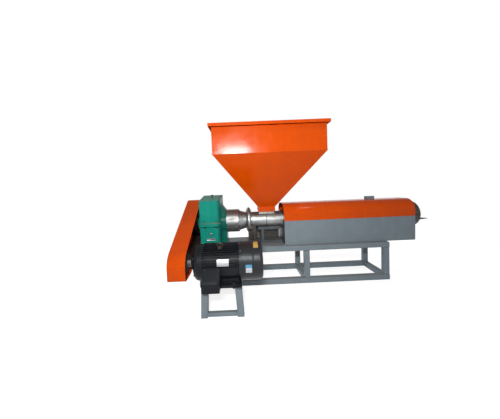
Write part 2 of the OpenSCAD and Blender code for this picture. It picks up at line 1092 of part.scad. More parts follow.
module hopper_bin_walls() {
    color(orange_paint)
        both_sides()
            block(
                [hopper_middle - bin_half, -bin_half, hopper_fold],
                [hopper_middle + bin_half, -bin_half + sheet, hopper_top - sheet]
            );
}

module hopper_bin_ends() {
    color(orange_paint)
        for (side = [-1, 1])
            translate([hopper_middle + side * (bin_half - sheet / 2), 0, 0])
                block(
                    [-sheet / 2, -bin_half + sheet, hopper_fold],
                    [sheet / 2, bin_half - sheet, hopper_top - sheet]
                );
}

// Sloping plate on the -Y side of the hopper's middle, mitred at its two sloping edges
module funnel_plate() {
    deep = sheet / cos(90 - wall_turn);
    polyhedron(
        points = [
            [-neck_half, -neck_half, funnel_bottom],
            [neck_half, -neck_half, funnel_bottom],
            [bin_half, -bin_half, hopper_fold],
            [-bin_half, -bin_half, hopper_fold],
            [-neck_half + deep, -neck_half + deep, funnel_bottom],
            [neck_half - deep, -neck_half + deep, funnel_bottom],
            [bin_half - deep, -bin_half + deep, hopper_fold],
            [-bin_half + deep, -bin_half + deep, hopper_fold]
        ],
        faces = [
            [0, 3, 2, 1],
            [4, 5, 6, 7],
            [0, 1, 5, 4],
            [2, 3, 7, 6],
            [1, 2, 6, 5],
            [0, 4, 7, 3]
        ]
    );
}

module hopper_funnel_walls() {
    color(orange_paint)
        translate([hopper_middle, 0, 0])
            for (turn = [0, 180])
                rotate([0, 0, turn])
                    funnel_plate();
}

module hopper_funnel_ends() {
    color(orange_paint)
        translate([hopper_middle, 0, 0])
            for (turn = [90, 270])
                rotate([0, 0, turn])
                    funnel_plate();
}

// Collar under the funnel, fitted round the feed throat
module hopper_neck() {
    inner = neck_half - neck_wall;
    color(orange_paint)
        translate([hopper_middle, 0, 0])
            difference() {
                block([-neck_half, -neck_half, neck_bottom], [neck_half, neck_half, funnel_bottom]);
                block([-inner, -inner, neck_bottom - 1], [inner, inner, funnel_bottom + 1]);
            }
}

// Folded rim, turned out and down round the top of the bin
module hopper_rim() {
    color(orange_paint)
        translate([hopper_middle, 0, 0])
            difference() {
                block([-rim_half, -rim_half, hopper_top - rim_height], [rim_half, rim_half, hopper_top]);
                block(
                    [-bin_half + sheet, -bin_half + sheet, hopper_top - rim_height - 1],
                    [bin_half - sheet, bin_half - sheet, hopper_top + 1]
                );
                block(
                    [-rim_half + sheet, -rim_half + sheet, hopper_top - rim_height - 1],
                    [rim_half - sheet, rim_half - sheet, hopper_top - sheet]
                );
            }
}

// Barrel cover

module cover_sides() {
    color(frame_paint)
        both_sides()
            block([cover_left, -cover_half, cover_bottom], [cover_right, -cover_half + sheet, axis_height]);
}

module cover_floor() {
    color(frame_paint)
        block(
            [cover_left + sheet, -cover_half + sheet, cover_bottom],
            [cover_right - sheet, cover_half - sheet, cover_bottom + sheet]
        );
}

// Section of the arch: upright sides, round shoulders and a flat crown
function arch_points(inset, low) =
    let (
        half = cover_half - inset,
        round = shoulder_radius - inset,
        bend = axis_height + cover_half - shoulder_radius
    )
    concat(
        [[-half, low]],
        arc([-half + round, bend], round, 180, 90),
        arc([half - round, bend], round, 90, 0),
        [[half, low]]
    );

// Left end plate up to the split, and right end plate that also closes the arch, cut out for the barrel
module cover_ends() {
    inside = cover_half - sheet;
    color(frame_paint)
        difference() {
            union() {
                block([cover_left, -inside, cover_bottom], [cover_left + sheet, inside, axis_height]);
                along_x(cover_right - sheet, sheet)
                    polygon(concat(
                        [[inside, cover_bottom], [-inside, cover_bottom]],
                        arch_points(sheet + seat_gap, axis_height)
                    ));
            }
            on_axis()
                rod_x(cover_left - 1, cover_right + 1, barrel_radius + seat_gap);
        }
}

module cover_arch() {
    color(orange_paint)
        along_x(cover_left, cover_right - cover_left)
            difference() {
                polygon(arch_points(0, axis_height));
                polygon(arch_points(sheet, axis_height - 1));
            }
}

// Short open-ended box tube on the ridge
module cover_bracket() {
    color(frame_paint)
        difference() {
            block(
                [bracket_left, -bracket_depth / 2, cover_ridge],
                [bracket_left + bracket_length, bracket_depth / 2, cover_ridge + bracket_height]
            );
            block(
                [bracket_left - 1, -bracket_depth / 2 + sheet, cover_ridge + 3],
                [bracket_left + bracket_length + 1, bracket_depth / 2 - sheet, cover_ridge + bracket_height - sheet]
            );
        }
}

// Die head

module die_head() {
    edge = 14;
    color(dark_steel)
        on_axis()
            turned([
                [0, cover_right],
                [head_radius, cover_right],
                [head_radius, head_right - edge],
                [head_radius - 4, head_right - 4],
                [head_radius - edge, head_right],
                [0, head_right]
            ]);
}

// Round plate with a ring of strand holes
module die_plate() {
    plate_radius = 88;
    hole_circle = 62;
    color(steel)
        on_axis()
            difference() {
                rod_x(head_right, head_right + plate_thickness, plate_radius);
                for (i = [0 : strand_holes - 1])
                    rotate([i * 360 / strand_holes, 0, 0])
                        translate([0, 0, hole_circle])
                            rod_x(head_right - 1, head_right + plate_thickness + 1, strand_radius);
            }
}

module head_lever() {
    color(dark_steel)
        translate([0, lever_y, lever_z])
            turned([
                [0, head_right],
                [11, head_right],
                [11, head_right + 12],
                [4, head_right + lever_length - 3],
                [2, head_right + lever_length],
                [0, head_right + lever_length]
            ]);
}

// Moves a piece so that the origin lies under the middle of the machine
module placed() {
    translate([-x_middle, -y_middle, 0])
        children();
}

placed() frame_long_rails();
placed() frame_end_rails();
placed() frame_legs();
placed() frame_cross_rails();
placed() deck_plate();
placed() motor_stand_legs();
placed() motor_stand_arms();
placed() motor_stand_rail();
placed() motor_body();
placed() motor_drive_shield();
placed() motor_rear_shield();
placed() motor_fan_cowl();
placed() motor_fan();
placed() motor_terminal_box();
placed() motor_lifting_eye();
placed() motor_shaft();
placed() motor_pulley();
placed() gearbox_pulley();
placed() drive_belts();
placed() guard_rim();
placed() guard_side();
placed() guard_brackets();
placed() gearbox_lower_case();
placed() gearbox_upper_case();
placed() gearbox_bearing_caps();
placed() gearbox_breather();
placed() gearbox_input_shaft();
placed() thrust_housing();
placed() ring_flange();
placed() feed_section();
placed() feed_throat();
placed() feed_screw();
placed() barrel();
placed() barrel_base();
placed() barrel_pedestal();
placed() barrel_stool();
placed() hopper_bin_walls();
placed() hopper_bin_ends();
placed() hopper_funnel_walls();
placed() hopper_funnel_ends();
placed() hopper_neck();
placed() hopper_rim();
placed() cover_sides();
placed() cover_floor();
placed() cover_ends();
placed() cover_arch();
placed() cover_bracket();
placed() die_head();
placed() die_plate();
placed() head_lever();
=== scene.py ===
# %% [markdown]
# # A plastic pelletizing extruder
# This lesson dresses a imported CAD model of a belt-driven extruder: a tube frame, a black motor, a green gearbox, a
# bright orange hopper and a long covered barrel. The CAD solids are loaded first and never changed. What the solids
# leave out is modelled here: bolts, plates, lids, welds and beads, and above all the finishes.

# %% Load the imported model
import json
import math

import bpy
from mathutils import Matrix, Vector

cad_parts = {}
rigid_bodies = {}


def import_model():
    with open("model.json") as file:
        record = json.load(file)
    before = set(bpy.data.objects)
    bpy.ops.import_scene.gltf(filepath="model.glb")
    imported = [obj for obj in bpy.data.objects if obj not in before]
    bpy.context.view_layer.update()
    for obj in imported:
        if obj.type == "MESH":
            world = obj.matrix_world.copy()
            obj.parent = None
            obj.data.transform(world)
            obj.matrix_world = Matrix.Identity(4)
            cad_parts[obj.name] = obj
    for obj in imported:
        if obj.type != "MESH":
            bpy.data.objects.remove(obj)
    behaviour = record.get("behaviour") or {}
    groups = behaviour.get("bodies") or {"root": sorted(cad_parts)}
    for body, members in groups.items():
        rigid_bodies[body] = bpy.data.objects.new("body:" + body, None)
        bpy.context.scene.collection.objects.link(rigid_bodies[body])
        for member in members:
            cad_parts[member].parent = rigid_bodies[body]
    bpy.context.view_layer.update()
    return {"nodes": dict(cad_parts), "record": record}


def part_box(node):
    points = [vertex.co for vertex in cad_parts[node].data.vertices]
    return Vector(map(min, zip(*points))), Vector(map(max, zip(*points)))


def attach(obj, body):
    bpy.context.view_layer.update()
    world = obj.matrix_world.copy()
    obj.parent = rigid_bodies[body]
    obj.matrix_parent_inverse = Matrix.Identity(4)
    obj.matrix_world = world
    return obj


for left_over in list(bpy.data.objects):
    bpy.data.objects.remove(left_over)
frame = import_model()

# %% [markdown]
# ## A ruler
# The drawing measures along the machine from the left end of its base frame and across it from the screw axis. One
# small function turns those millimetres into Blender's metres, so that every piece can be placed as on the drawing.

# %% Points in the machine's own measures
MM = 0.001
frame_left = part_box("frame_legs")[0].x
axis_low, axis_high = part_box("barrel")
screw_y = (axis_low.y + axis_high.y) / 2
screw_z = (axis_low.z + axis_high.z) / 2
screw_centre = Vector((frame_left, screw_y, screw_z))
motor_low, motor_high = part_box("motor_fan_cowl")
motor_centre = Vector((frame_left, (motor_low.y + motor_high.y) / 2, (motor_low.z + motor_high.z) / 2))
AXIS = screw_z / MM
MOTOR_Y = (motor_centre.y - screw_y) / MM


def spot(x, y, z):
    """A point x along the frame, y behind the screw axis and z above the floor, in millimetres."""
    return Vector((frame_left + x * MM, screw_y + y * MM, z * MM))


def outward(angle):
    """The way out from an axis along X. Angles count from the front upwards: 0 faces the camera, 90 is the top."""
    return Vector((0, -math.cos(math.radians(angle)), math.sin(math.radians(angle))))


print("screw axis", round(AXIS), "mm above the floor, motor axis", round(MOTOR_Y), "mm behind it")

# %% [markdown]
# ## The camera
# The photograph was taken with a short lens from about two and a half metres. Its place was worked out from edges that
# are straight on the real machine. A camera is easiest to aim by giving it three directions: right, up and backwards.

# %% Camera
FRAME_WIDTH, FRAME_HEIGHT = 500, 419
FOCAL = 205
CENTRE = (244.5, 195)
YAW, PITCH, ROLL = 0.0055, 0.046, -0.042
eye = spot(528, -2478, 1124)
ahead = Vector((math.sin(YAW) * math.cos(PITCH), math.cos(YAW) * math.cos(PITCH), -math.sin(PITCH)))
level = Vector((math.cos(YAW), -math.sin(YAW), 0))
upright = level.cross(ahead)
right = math.cos(ROLL) * level + math.sin(ROLL) * upright
up = -math.sin(ROLL) * level + math.cos(ROLL) * upright

camera_data = bpy.data.cameras.new("camera")
camera_data.sensor_width = 36
camera_data.lens = FOCAL / FRAME_WIDTH * camera_data.sensor_width
camera_data.shift_x = (FRAME_WIDTH / 2 - CENTRE[0]) / FRAME_WIDTH
camera_data.shift_y = (CENTRE[1] - FRAME_HEIGHT / 2) / FRAME_WIDTH
camera = bpy.data.objects.new("camera", camera_data)
camera.matrix_world = Matrix.Translation(eye) @ Matrix((right, up, -ahead)).transposed().to_4x4()
bpy.context.scene.collection.objects.link(camera)
bpy.context.scene.camera = camera
bpy.context.scene.view_settings.view_transform = "Standard"


def seen(px, py, y):
    """The point on the upright plane y, in millimetres behind the screw axis, that shows at a pixel."""
    ray = ahead + right * (px - CENTRE[0]) / FOCAL - up * (py - CENTRE[1]) / FOCAL
    return eye + ray * ((screw_y + y * MM - eye.y) / ray.y)


print("camera at", eye, "lens", round(camera_data.lens, 2))

# %% [markdown]
# ## Nodes without clutter
# Materials here are small graphs. A few helpers keep the code short: the first adds a node and feeds its inputs from
# sockets or plain values, and the others wrap the nodes that come up all the time.

# %% Node helpers
MIX_FROM, MIX_TO, MIX_COLOUR = 6, 7, 2  # the Mix node's sockets for colours


def wire(tree, kind, feeds=None, **settings):
    """Adds a node, sets its settings, and feeds each input from a socket or a plain value."""
    made = tree.nodes.new(kind)
    for name, value in settings.items():
        setattr(made, name, value)
    for key, value in (feeds or {}).items():
        if isinstance(value, bpy.types.NodeSocket):
            tree.links.new(value, made.inputs[key])
        else:
            made.inputs[key].default_value = value
    return made


def mixed(tree, factor, first, second):
    """A colour between two colours."""
    feeds = {0: factor, MIX_FROM: first, MIX_TO: second}
    return wire(tree, "ShaderNodeMix", feeds, data_type="RGBA").outputs[MIX_COLOUR]


def ranged(tree, value, low, high, to_low=0.0, to_high=1.0):
    """A value stretched from one range to another and held inside it."""
    feeds = {"Value": value, "From Min": low, "From Max": high, "To Min": to_low, "To Max": to_high}
    return wire(tree, "ShaderNodeMapRange", feeds).outputs[0]


def sums(tree, operation, *terms):
    """One step of arithmetic."""
    return wire(tree, "ShaderNodeMath", dict(enumerate(terms)), operation=operation).outputs[0]


def product(tree, value, *factors):
    """A value times each factor in turn."""
    for factor in factors:
        value = sums(tree, "MULTIPLY", value, factor)
    return value


def part_of(tree, vector, axis):
    """One coordinate of a vector."""
    return wire(tree, "ShaderNodeSeparateXYZ", {0: vector}).outputs[axis]


def noise(tree, place, scale, detail=3.0, rough=0.5):
    """Soft cloudy noise between 0 and 1."""
    feeds = {"Vector": place, "Scale": scale, "Detail": detail, "Roughness": rough}
    return wire(tree, "ShaderNodeTexNoise", feeds).outputs[0]


print("node helpers", [helper.__name__ for helper in (wire, mixed, ranged, sums, product, part_of, noise)])

# %% [markdown]
# ## Effects that many finishes share
# Paint on sheet and castings has a skin: fine pimples and slow waves. Each effect like this is one node group, so a
# finish only chooses how much of it there is. A group is an empty graph with named sockets at its two ends.

# %% Groups and the paint's skin
PIMPLE_HEIGHT = 0.03


def group(name, inputs, outputs):
    """An empty node group with named sockets, and its two ends."""
    tree = bpy.data.node_groups.new(name, "ShaderNodeTree")
    for label, kind, value in inputs:
        socket = tree.interface.new_socket(name=label, in_out="INPUT", socket_type="NodeSocket" + kind)
        if value is not None:
            socket.default_value = value
    for label, kind in outputs:
        tree.interface.new_socket(name=label, in_out="OUTPUT", socket_type="NodeSocket" + kind)
    return tree, tree.nodes.new("NodeGroupInput").outputs, tree.nodes.new("NodeGroupOutput").inputs


def placed_group(tree, shared, **feeds):
    """One use of a shared group, with its own values."""
    return wire(tree, "ShaderNodeGroup", feeds, node_tree=shared).outputs


skin, give, take = group(
    "Paint skin",
    [("Place", "Vector", None), ("Fine", "Float", 500.0), ("Wave", "Float", 5.0), ("Waviness", "Float", 0.5)],
    [("Height", "Float"), ("Tone", "Float")],
)
pimples = product(skin, noise(skin, give["Place"], give["Fine"], detail=2.0), PIMPLE_HEIGHT)
waves = product(skin, noise(skin, give["Place"], give["Wave"], detail=1.0), give["Waviness"])
skin.links.new(sums(skin, "ADD", waves, pimples), take["Height"])
skin.links.new(noise(skin, give["Place"], scale=9.0, detail=5.0, rough=0.65), take["Tone"])
print("group", skin.name, [socket.name for socket in take[:-1]])

# %% [markdown]
# ## Worn edges
# Corners lose paint first. The Bevel node compares a softened corner with the hard one, and where they differ there is
# an edge. Noise breaks it up, because wear is never even.

# %% Edge wear
EDGE_STARTS, EDGE_FULL = 0.995, 0.8  # likeness of the soft and the hard normal
wear, give, take = group(
    "Edge wear",
    [("Place", "Vector", None), ("Radius", "Float", 0.004), ("Amount", "Float", 0.5)],
    [("Mask", "Float"), ("Normal", "Vector")],
)
soft = wire(wear, "ShaderNodeBevel", {"Radius": give["Radius"]}, samples=4).outputs[0]
hard = wire(wear, "ShaderNodeNewGeometry").outputs["Normal"]
likeness = wire(wear, "ShaderNodeVectorMath", {0: soft, 1: hard}, operation="DOT_PRODUCT").outputs["Value"]
edge = ranged(wear, likeness, EDGE_STARTS, EDGE_FULL)
broken = ranged(wear, noise(wear, give["Place"], scale=38.0, detail=6.0, rough=0.7), 0.45, 0.62)
wear.links.new(product(wear, edge, broken, give["Amount"]), take["Mask"])
wear.links.new(soft, take["Normal"])
print("group", wear.name, [socket.name for socket in take[:-1]])

# %% [markdown]
# ## Dust and streaks
# Dust lies on what faces up, and dirt splashes up from the floor. Streaks are noise on a stretched place: downwards for
# runs in paint, and round a shaft for the marks of a lathe.

# %% Dust, splashes and streaks
LIES_FROM, LIES_FULL = 0.35, 0.95  # how far a face looks up
SPLASH_TOP = 0.35  # metres above the floor
dust, give, take = group(
    "Dust and splashes",
    [("Place", "Vector", None), ("Lying", "Float", 0.5), ("Splash", "Float", 0.3)],
    [("Mask", "Float")],
)
facing = part_of(dust, wire(dust, "ShaderNodeNewGeometry").outputs["Normal"], "Z")
clouds = ranged(dust, noise(dust, give["Place"], scale=6.0, detail=6.0, rough=0.65), 0.25, 0.75, to_low=0.45)
lying = product(dust, ranged(dust, facing, LIES_FROM, LIES_FULL), clouds, give["Lying"])
height = part_of(dust, give["Place"], "Z")
spatter = ranged(dust, noise(dust, give["Place"], scale=30.0, detail=6.0, rough=0.75), 0.5, 0.7)
splash = product(dust, ranged(dust, height, SPLASH_TOP, 0.0), spatter, give["Splash"])
dust.links.new(sums(dust, "MAXIMUM", lying, splash), take["Mask"])

runs, give, take = group(
    "Long streaks", [("Place", "Vector", None), ("Stretch", "Vector", (1.0, 1.0, 1.0))], [("Mask", "Float")]
)
drawn = wire(runs, "ShaderNodeVectorMath", {0: give["Place"], 1: give["Stretch"]}, operation="MULTIPLY").outputs[0]
runs.links.new(noise(runs, drawn, scale=1.0, detail=6.0, rough=0.6), take["Mask"])
print("groups", [g.name for g in bpy.data.node_groups])

# %% [markdown]
# ## Enamel
# Most of this machine is painted: orange on the sheet, grey on the tubes, green on the gearbox, black on the motor.
# They differ in colour, gloss and skin, not in how they are built, so one function makes them all. It mixes two close
# shades by a cloudy tone, lays dust on top, bares the corners, and bends the light with the paint's skin. The gearbox's
# paint is also darkened towards its output end along the machine's length: painted shade for the shade that the hopper
# and the housing cast there.

# %% How enamel is built
DUST = (0.20, 0.18, 0.155, 1)
DUST_MATT = 0.35  # how much rougher dust is
# a dark green for painted shade on the gearbox's output end, where the hopper and housing cast shade
PAINTED_SHADE_GREEN = (0.004, 0.055, 0.042, 1)
CLOUDS = (0.3, 0.7)  # where cloudy noise has most of its values
DOWN_RUNS = (26.0, 26.0, 1.5)
RUN_SHARE = 0.35


def new_finish(name):
    """A new material, its graph, its shader, and the place on the piece that its patterns read."""
    material = bpy.data.materials.new(name)
    material.use_nodes = True
    tree = material.node_tree
    return material, tree, tree.nodes["Principled BSDF"], wire(tree, "ShaderNodeTexCoord").outputs["Object"]


def uneven(tree, tone, roughness, less=0.06, more=0.08):
    """A roughness that goes with a cloudy tone from a little less to a little more."""
    return ranged(tree, tone, *CLOUDS, roughness - less, roughness + more)


def bumped(tree, shader, strength, distance, **feeds):
    """Bends a shader's light by a height, so many metres deep."""
    feeds |= {"Strength": strength, "Distance": distance}
    tree.links.new(wire(tree, "ShaderNodeBump", feeds).outputs[0], shader.inputs["Normal"])


def enamel(name, colour, shade, bare, roughness, fine, wave, depth, lying, splash, radius, worn, shine, shaded_span=None):
    """Paint in two close shades over a bare colour. The skin's depth and the worn edges' radius are in metres.

    shaded_span gives the places along the machine where the painted shade starts and where it is full."""
    material, tree, paint, place = new_finish(name)
    surface = placed_group(tree, skin, Place=place, Fine=fine, Wave=wave, Waviness=0.6)
    corners = placed_group(tree, wear, Place=place, Radius=radius, Amount=worn)
    powder = placed_group(tree, dust, Place=place, Lying=lying, Splash=splash)
    streak = placed_group(tree, runs, Place=place, Stretch=DOWN_RUNS)
    tone = sums(tree, "MULTIPLY_ADD", streak["Mask"], RUN_SHARE, product(tree, surface["Tone"], 1 - RUN_SHARE))
    coat = mixed(tree, ranged(tree, tone, 0.32, 0.68), (*shade, 1), (*colour, 1))
    coat = mixed(tree, powder["Mask"], coat, DUST)
    # painted shade: a darker green towards the gearbox's output end
    if shaded_span:
        shade_patches = ranged(tree, surface["Tone"], 0.2, 0.6, 0.5, 0.8)
        painted_shade = product(tree, ranged(tree, part_of(tree, place, "X"), *shaded_span), shade_patches)
        coat = mixed(tree, painted_shade, coat, PAINTED_SHADE_GREEN)
    tree.links.new(mixed(tree, corners["Mask"], coat, (*bare, 1)), paint.inputs["Base Color"])
    matt = sums(tree, "MULTIPLY_ADD", powder["Mask"], DUST_MATT, uneven(tree, surface["Tone"], roughness))
    tree.links.new(matt, paint.inputs["Roughness"])
    bumped(tree, paint, 0.6, depth, Height=surface["Height"], Normal=corners["Normal"])
    paint.inputs["Specular IOR Level"].default_value = shine
    return material


print("streaks stretch", DOWN_RUNS)

# %% [markdown]
# ## The six paints
# The sheet has the smoothest paint. The gearbox was painted over a rough casting, so its skin is coarse and deep. The
# stool, its base and the cover's ends sit in the shade of the hopper, and their grey is painted darker for that shade.

# %% Painted finishes
orange = enamel(
    "orange_enamel", colour=(0.71, 0.080, 0.001), shade=(0.62, 0.065, 0.001), bare=(0.22, 0.10, 0.05),
    roughness=0.17, fine=420.0, wave=3.2, depth=0.0005, lying=0.06, splash=0.1, radius=0.0022, worn=0.55, shine=0.11,
)
grey = enamel(
    "grey_enamel", colour=(0.212, 0.258, 0.288), shade=(0.175, 0.216, 0.245), bare=(0.09, 0.075, 0.065),
    roughness=0.42, fine=600.0, wave=6.0, depth=0.0008, lying=0.45, splash=0.3, radius=0.0035, worn=0.75, shine=0.25,
)
green = enamel(
    "green_enamel", colour=(0.013, 0.33, 0.25), shade=(0.006, 0.26, 0.195), bare=(0.07, 0.10, 0.085),
    roughness=0.32, fine=160.0, wave=14.0, depth=0.0014, lying=0.28, splash=0.0, radius=0.006, worn=0.7, shine=0.10,
    # painted shade on the gearbox's output end, between these two places along the machine
    shaded_span=(spot(212, 0, 0).x, spot(236, 0, 0).x),
)
# darker than cowl_black: painted shade for the deep shadow between the motor's fins
black = enamel(
    "motor_black_shaded", colour=(0.0065, 0.008, 0.0105), shade=(0.0105, 0.0125, 0.0155), bare=(0.07, 0.075, 0.08),
    roughness=0.40, fine=260.0, wave=18.0, depth=0.0010, lying=0.02, splash=0.03, radius=0.004, worn=0.5, shine=0.18,
)
cowl_black = enamel(
    "cowl_black", colour=(0.0125, 0.0155, 0.0185), shade=(0.017, 0.0205, 0.024), bare=(0.08, 0.085, 0.09),
    roughness=0.36, fine=320.0, wave=9.0, depth=0.0008, lying=0.02, splash=0.03, radius=0.003, worn=0.4, shine=0.3,
)
# a darker grey: painted shade for the stool, its base and the cover's ends under the hopper
shaded_grey = enamel(
    "shaded_grey", colour=(0.105, 0.125, 0.138), shade=(0.06, 0.068, 0.072), bare=(0.07, 0.06, 0.05),
    roughness=0.45, fine=600.0, wave=6.0, depth=0.0008, lying=0.3, splash=0.3, radius=0.0035, worn=0.75, shine=0.2,
)
print("enamels", [m.name for m in (orange, grey, green, black, cowl_black, shaded_grey)])

# %% [markdown]
# ## Turned steel
# The thrust housing and the barrel were turned on a lathe and then left to the workshop air. Fine rings run round
# them, and the grey is blotched with brown. The rings are bands along the machine's length, so they need no unwrapping.

# %% Bare metals
BROWN_DUST = (0.20, 0.16, 0.13, 1)
RUBBED = (0.62, 0.61, 0.6, 1)
SMEARS = (5.0, 9.0, 26.0)
STAIN_MATT = 0.25  # how much rougher a stain is


def steel(name, bright, dull, stain, stained, rings, roughness):
    """Metal with lathe rings so close together, and so much of a stain in blotches."""
    material, tree, metal, place = new_finish(name)
    lathe = placed_group(tree, runs, Place=place, Stretch=(rings, 3.0, 3.0))
    smear = placed_group(tree, runs, Place=place, Stretch=SMEARS)
    corners = placed_group(tree, wear, Place=place, Radius=0.003, Amount=0.6)
    powder = placed_group(tree, dust, Place=place, Lying=0.45, Splash=0.0)
    body = mixed(tree, ranged(tree, lathe["Mask"], *CLOUDS), (*dull, 1), (*bright, 1))
    blotch = ranged(tree, smear["Mask"], 0.5, 0.68, to_high=stained)
    aged = mixed(tree, blotch, body, (*stain, 1))
    dusty = mixed(tree, powder["Mask"], aged, BROWN_DUST)
    tree.links.new(mixed(tree, corners["Mask"], dusty, RUBBED), metal.inputs["Base Color"])
    turned = uneven(tree, lathe["Mask"], roughness, less=0.07, more=0.1)
    tree.links.new(sums(tree, "MULTIPLY_ADD", blotch, STAIN_MATT, turned), metal.inputs["Roughness"])
    bumped(tree, metal, 0.35, 0.0006, Height=lathe["Mask"], Normal=corners["Normal"])
    metal.inputs["Metallic"].default_value = 1.0
    return material


turned_steel = steel(
    "turned_steel", bright=(0.40, 0.42, 0.42), dull=(0.235, 0.245, 0.245), stain=(0.15, 0.125, 0.10),
    stained=0.65, rings=260.0, roughness=0.44,
)
dark_iron = steel(
    "dark_iron", bright=(0.10, 0.094, 0.088), dull=(0.05, 0.046, 0.043), stain=(0.06, 0.04, 0.03),
    stained=0.8, rings=60.0, roughness=0.5,
)
zinc = steel(
    "zinc_plate", bright=(0.36, 0.355, 0.33), dull=(0.24, 0.235, 0.22), stain=(0.17, 0.13, 0.09),
    stained=0.5, rings=90.0, roughness=0.4,
)
plate_metal = steel(
    "plate_metal", bright=(0.46, 0.475, 0.485), dull=(0.37, 0.385, 0.395), stain=(0.30, 0.30, 0.29),
    stained=0.4, rings=700.0, roughness=0.42,
)
print("metals", [m.name for m in (turned_steel, dark_iron, zinc, plate_metal)])

# %% [markdown]
# ## Rubber, stickers and sealant
# Small things need finishes too: the matt belts, printed foil left plain, and the brown paste that squeezed out of the
# gearbox joint. None of them is metal, and each has a faint mottling and a skin of its own.

# %% Soft and printed finishes


def mottled(name, colour, shade, roughness, fine, depth):
    """A plain stuff in two close shades, with a skin so fine and so many metres deep."""
    material, tree, body, place = new_finish(name)
    surface = placed_group(tree, skin, Place=place, Fine=fine, Wave=22.0, Waviness=0.5)
    powder = placed_group(tree, dust, Place=place, Lying=0.25, Splash=0.0)
    base = mixed(tree, ranged(tree, surface["Tone"], *CLOUDS), (*shade, 1), (*colour, 1))
    tree.links.new(mixed(tree, powder["Mask"], base, DUST), body.inputs["Base Color"])
    tree.links.new(uneven(tree, surface["Tone"], roughness), body.inputs["Roughness"])
    bumped(tree, body, 0.5, depth, Height=surface["Height"])
    return material


FOIL = {"roughness": 0.4, "fine": 300.0, "depth": 0.0003}
rubber = mottled("belt_rubber", (0.014, 0.014, 0.014), (0.022, 0.021, 0.02), roughness=0.7, fine=900.0, depth=0.0006)
paste = mottled("joint_paste", (0.25, 0.13, 0.05), (0.12, 0.075, 0.04), roughness=0.5, fine=500.0, depth=0.0012)
yellow_foil = mottled("yellow_foil", (0.62, 0.44, 0.10), (0.50, 0.34, 0.07), **FOIL)
blue_foil = mottled("blue_foil", (0.10, 0.33, 0.52), (0.075, 0.26, 0.43), **FOIL)
white_foil = mottled("white_foil", (0.62, 0.66, 0.68), (0.50, 0.54, 0.57), **FOIL)
print("others", [m.name for m in (rubber, paste, yellow_foil, blue_foil, white_foil)])

# %% [markdown]
# ## Dress the CAD solids
# Every solid carries the name of a finish from the drawing. Giving each solid its new material takes one table, a
# second for the few that differ from their neighbours, and one loop. The solids themselves stay as they are.

# %% Finishes of the CAD nodes
FINISH = {
    "orange_paint": orange,
    "grey_paint": grey,
    "green_paint": green,
    # the motor's black is darker than its cowl's: painted shade between the fins
    "motor_paint": black,
    "machined_steel": turned_steel,
    "dark_steel": dark_iron,
    "belt_rubber": rubber,
}
OWN_FINISH = {
    "motor_lifting_eye": dark_iron,
    "feed_throat": zinc,
    "motor_fan_cowl": cowl_black,
    # painted shade: these three sit in the hopper's shade
    "barrel_stool": shaded_grey,
    "barrel_base": shaded_grey,
    "cover_ends": shaded_grey,
}
for part in frame["record"]["subparts"]:
    for holder in frame["nodes"][part["node"]].material_slots:
        holder.material = OWN_FINISH.get(part["node"], FINISH[part["material_slot"]])

# %% [markdown]
# ## The floor
# The machine stands on a pale floor in front of white. Near the machine the floor shows part of its own light, so that
# the soft shadow stays, and further off it is plain white. The Light Path node tells the rays that show the floor from
# those that carry light, so the white adds no light to the machine.

# %% Floor
WHITE = (1, 1, 1, 1)
SHADOW, FLOOR_LIGHT = 0.6, 0.33  # share of the floor's own light near the machine, and how bright that light is
NEAR, FAR = 1.2, 3.2  # metres from the machine's middle


def looked_at(tree):
    """A mask of the rays that show a surface straight, in a reflection or through glass, and one of the first alone."""
    path = wire(tree, "ShaderNodeLightPath").outputs
    shown = sums(tree, "MAXIMUM", path["Is Camera Ray"], path["Is Glossy Ray"])
    return sums(tree, "MAXIMUM", shown, path["Is Transmission Ray"]), path["Is Camera Ray"]


bpy.ops.object.select_all(action="DESELECT")
bpy.ops.mesh.primitive_plane_add(size=60, location=(0, 0, -0.0005))
floor = bpy.context.object
floor.name = "floor"
floor_paint, tree, lit, place = new_finish("floor_paint")
lit.inputs["Roughness"].default_value = 0.9
lit.inputs["Specular IOR Level"].default_value = 0.1
pale = mixed(tree, noise(tree, place, scale=2.0), (0.80, 0.80, 0.80, 1), (0.84, 0.84, 0.84, 1))
tree.links.new(pale, lit.inputs["Base Color"])
reach = wire(tree, "ShaderNodeVectorMath", {0: place}, operation="LENGTH").outputs["Value"]
near_glow = (1 - SHADOW * FLOOR_LIGHT) / (1 - SHADOW)
glow = wire(tree, "ShaderNodeEmission", {"Color": WHITE, "Strength": ranged(tree, reach, NEAR, FAR, near_glow, 1.0)})
share = product(tree, looked_at(tree)[0], ranged(tree, reach, NEAR, FAR, 1 - SHADOW, 1.0))
veil = wire(tree, "ShaderNodeMixShader", {0: share, 1: lit.outputs[0], 2: glow.outputs[0]})
tree.links.new(veil.outputs[0], tree.nodes["Material Output"].inputs["Surface"])
floor.data.materials.append(floor_paint)
print("floor glows", round(near_glow, 2), "near the machine")

# %% [markdown]
# ## The sky
# The world lights everything softly, more from the sides than from above as in a hall, and least from the right. To the
# camera it is white, and in reflections it darkens towards the ceiling.

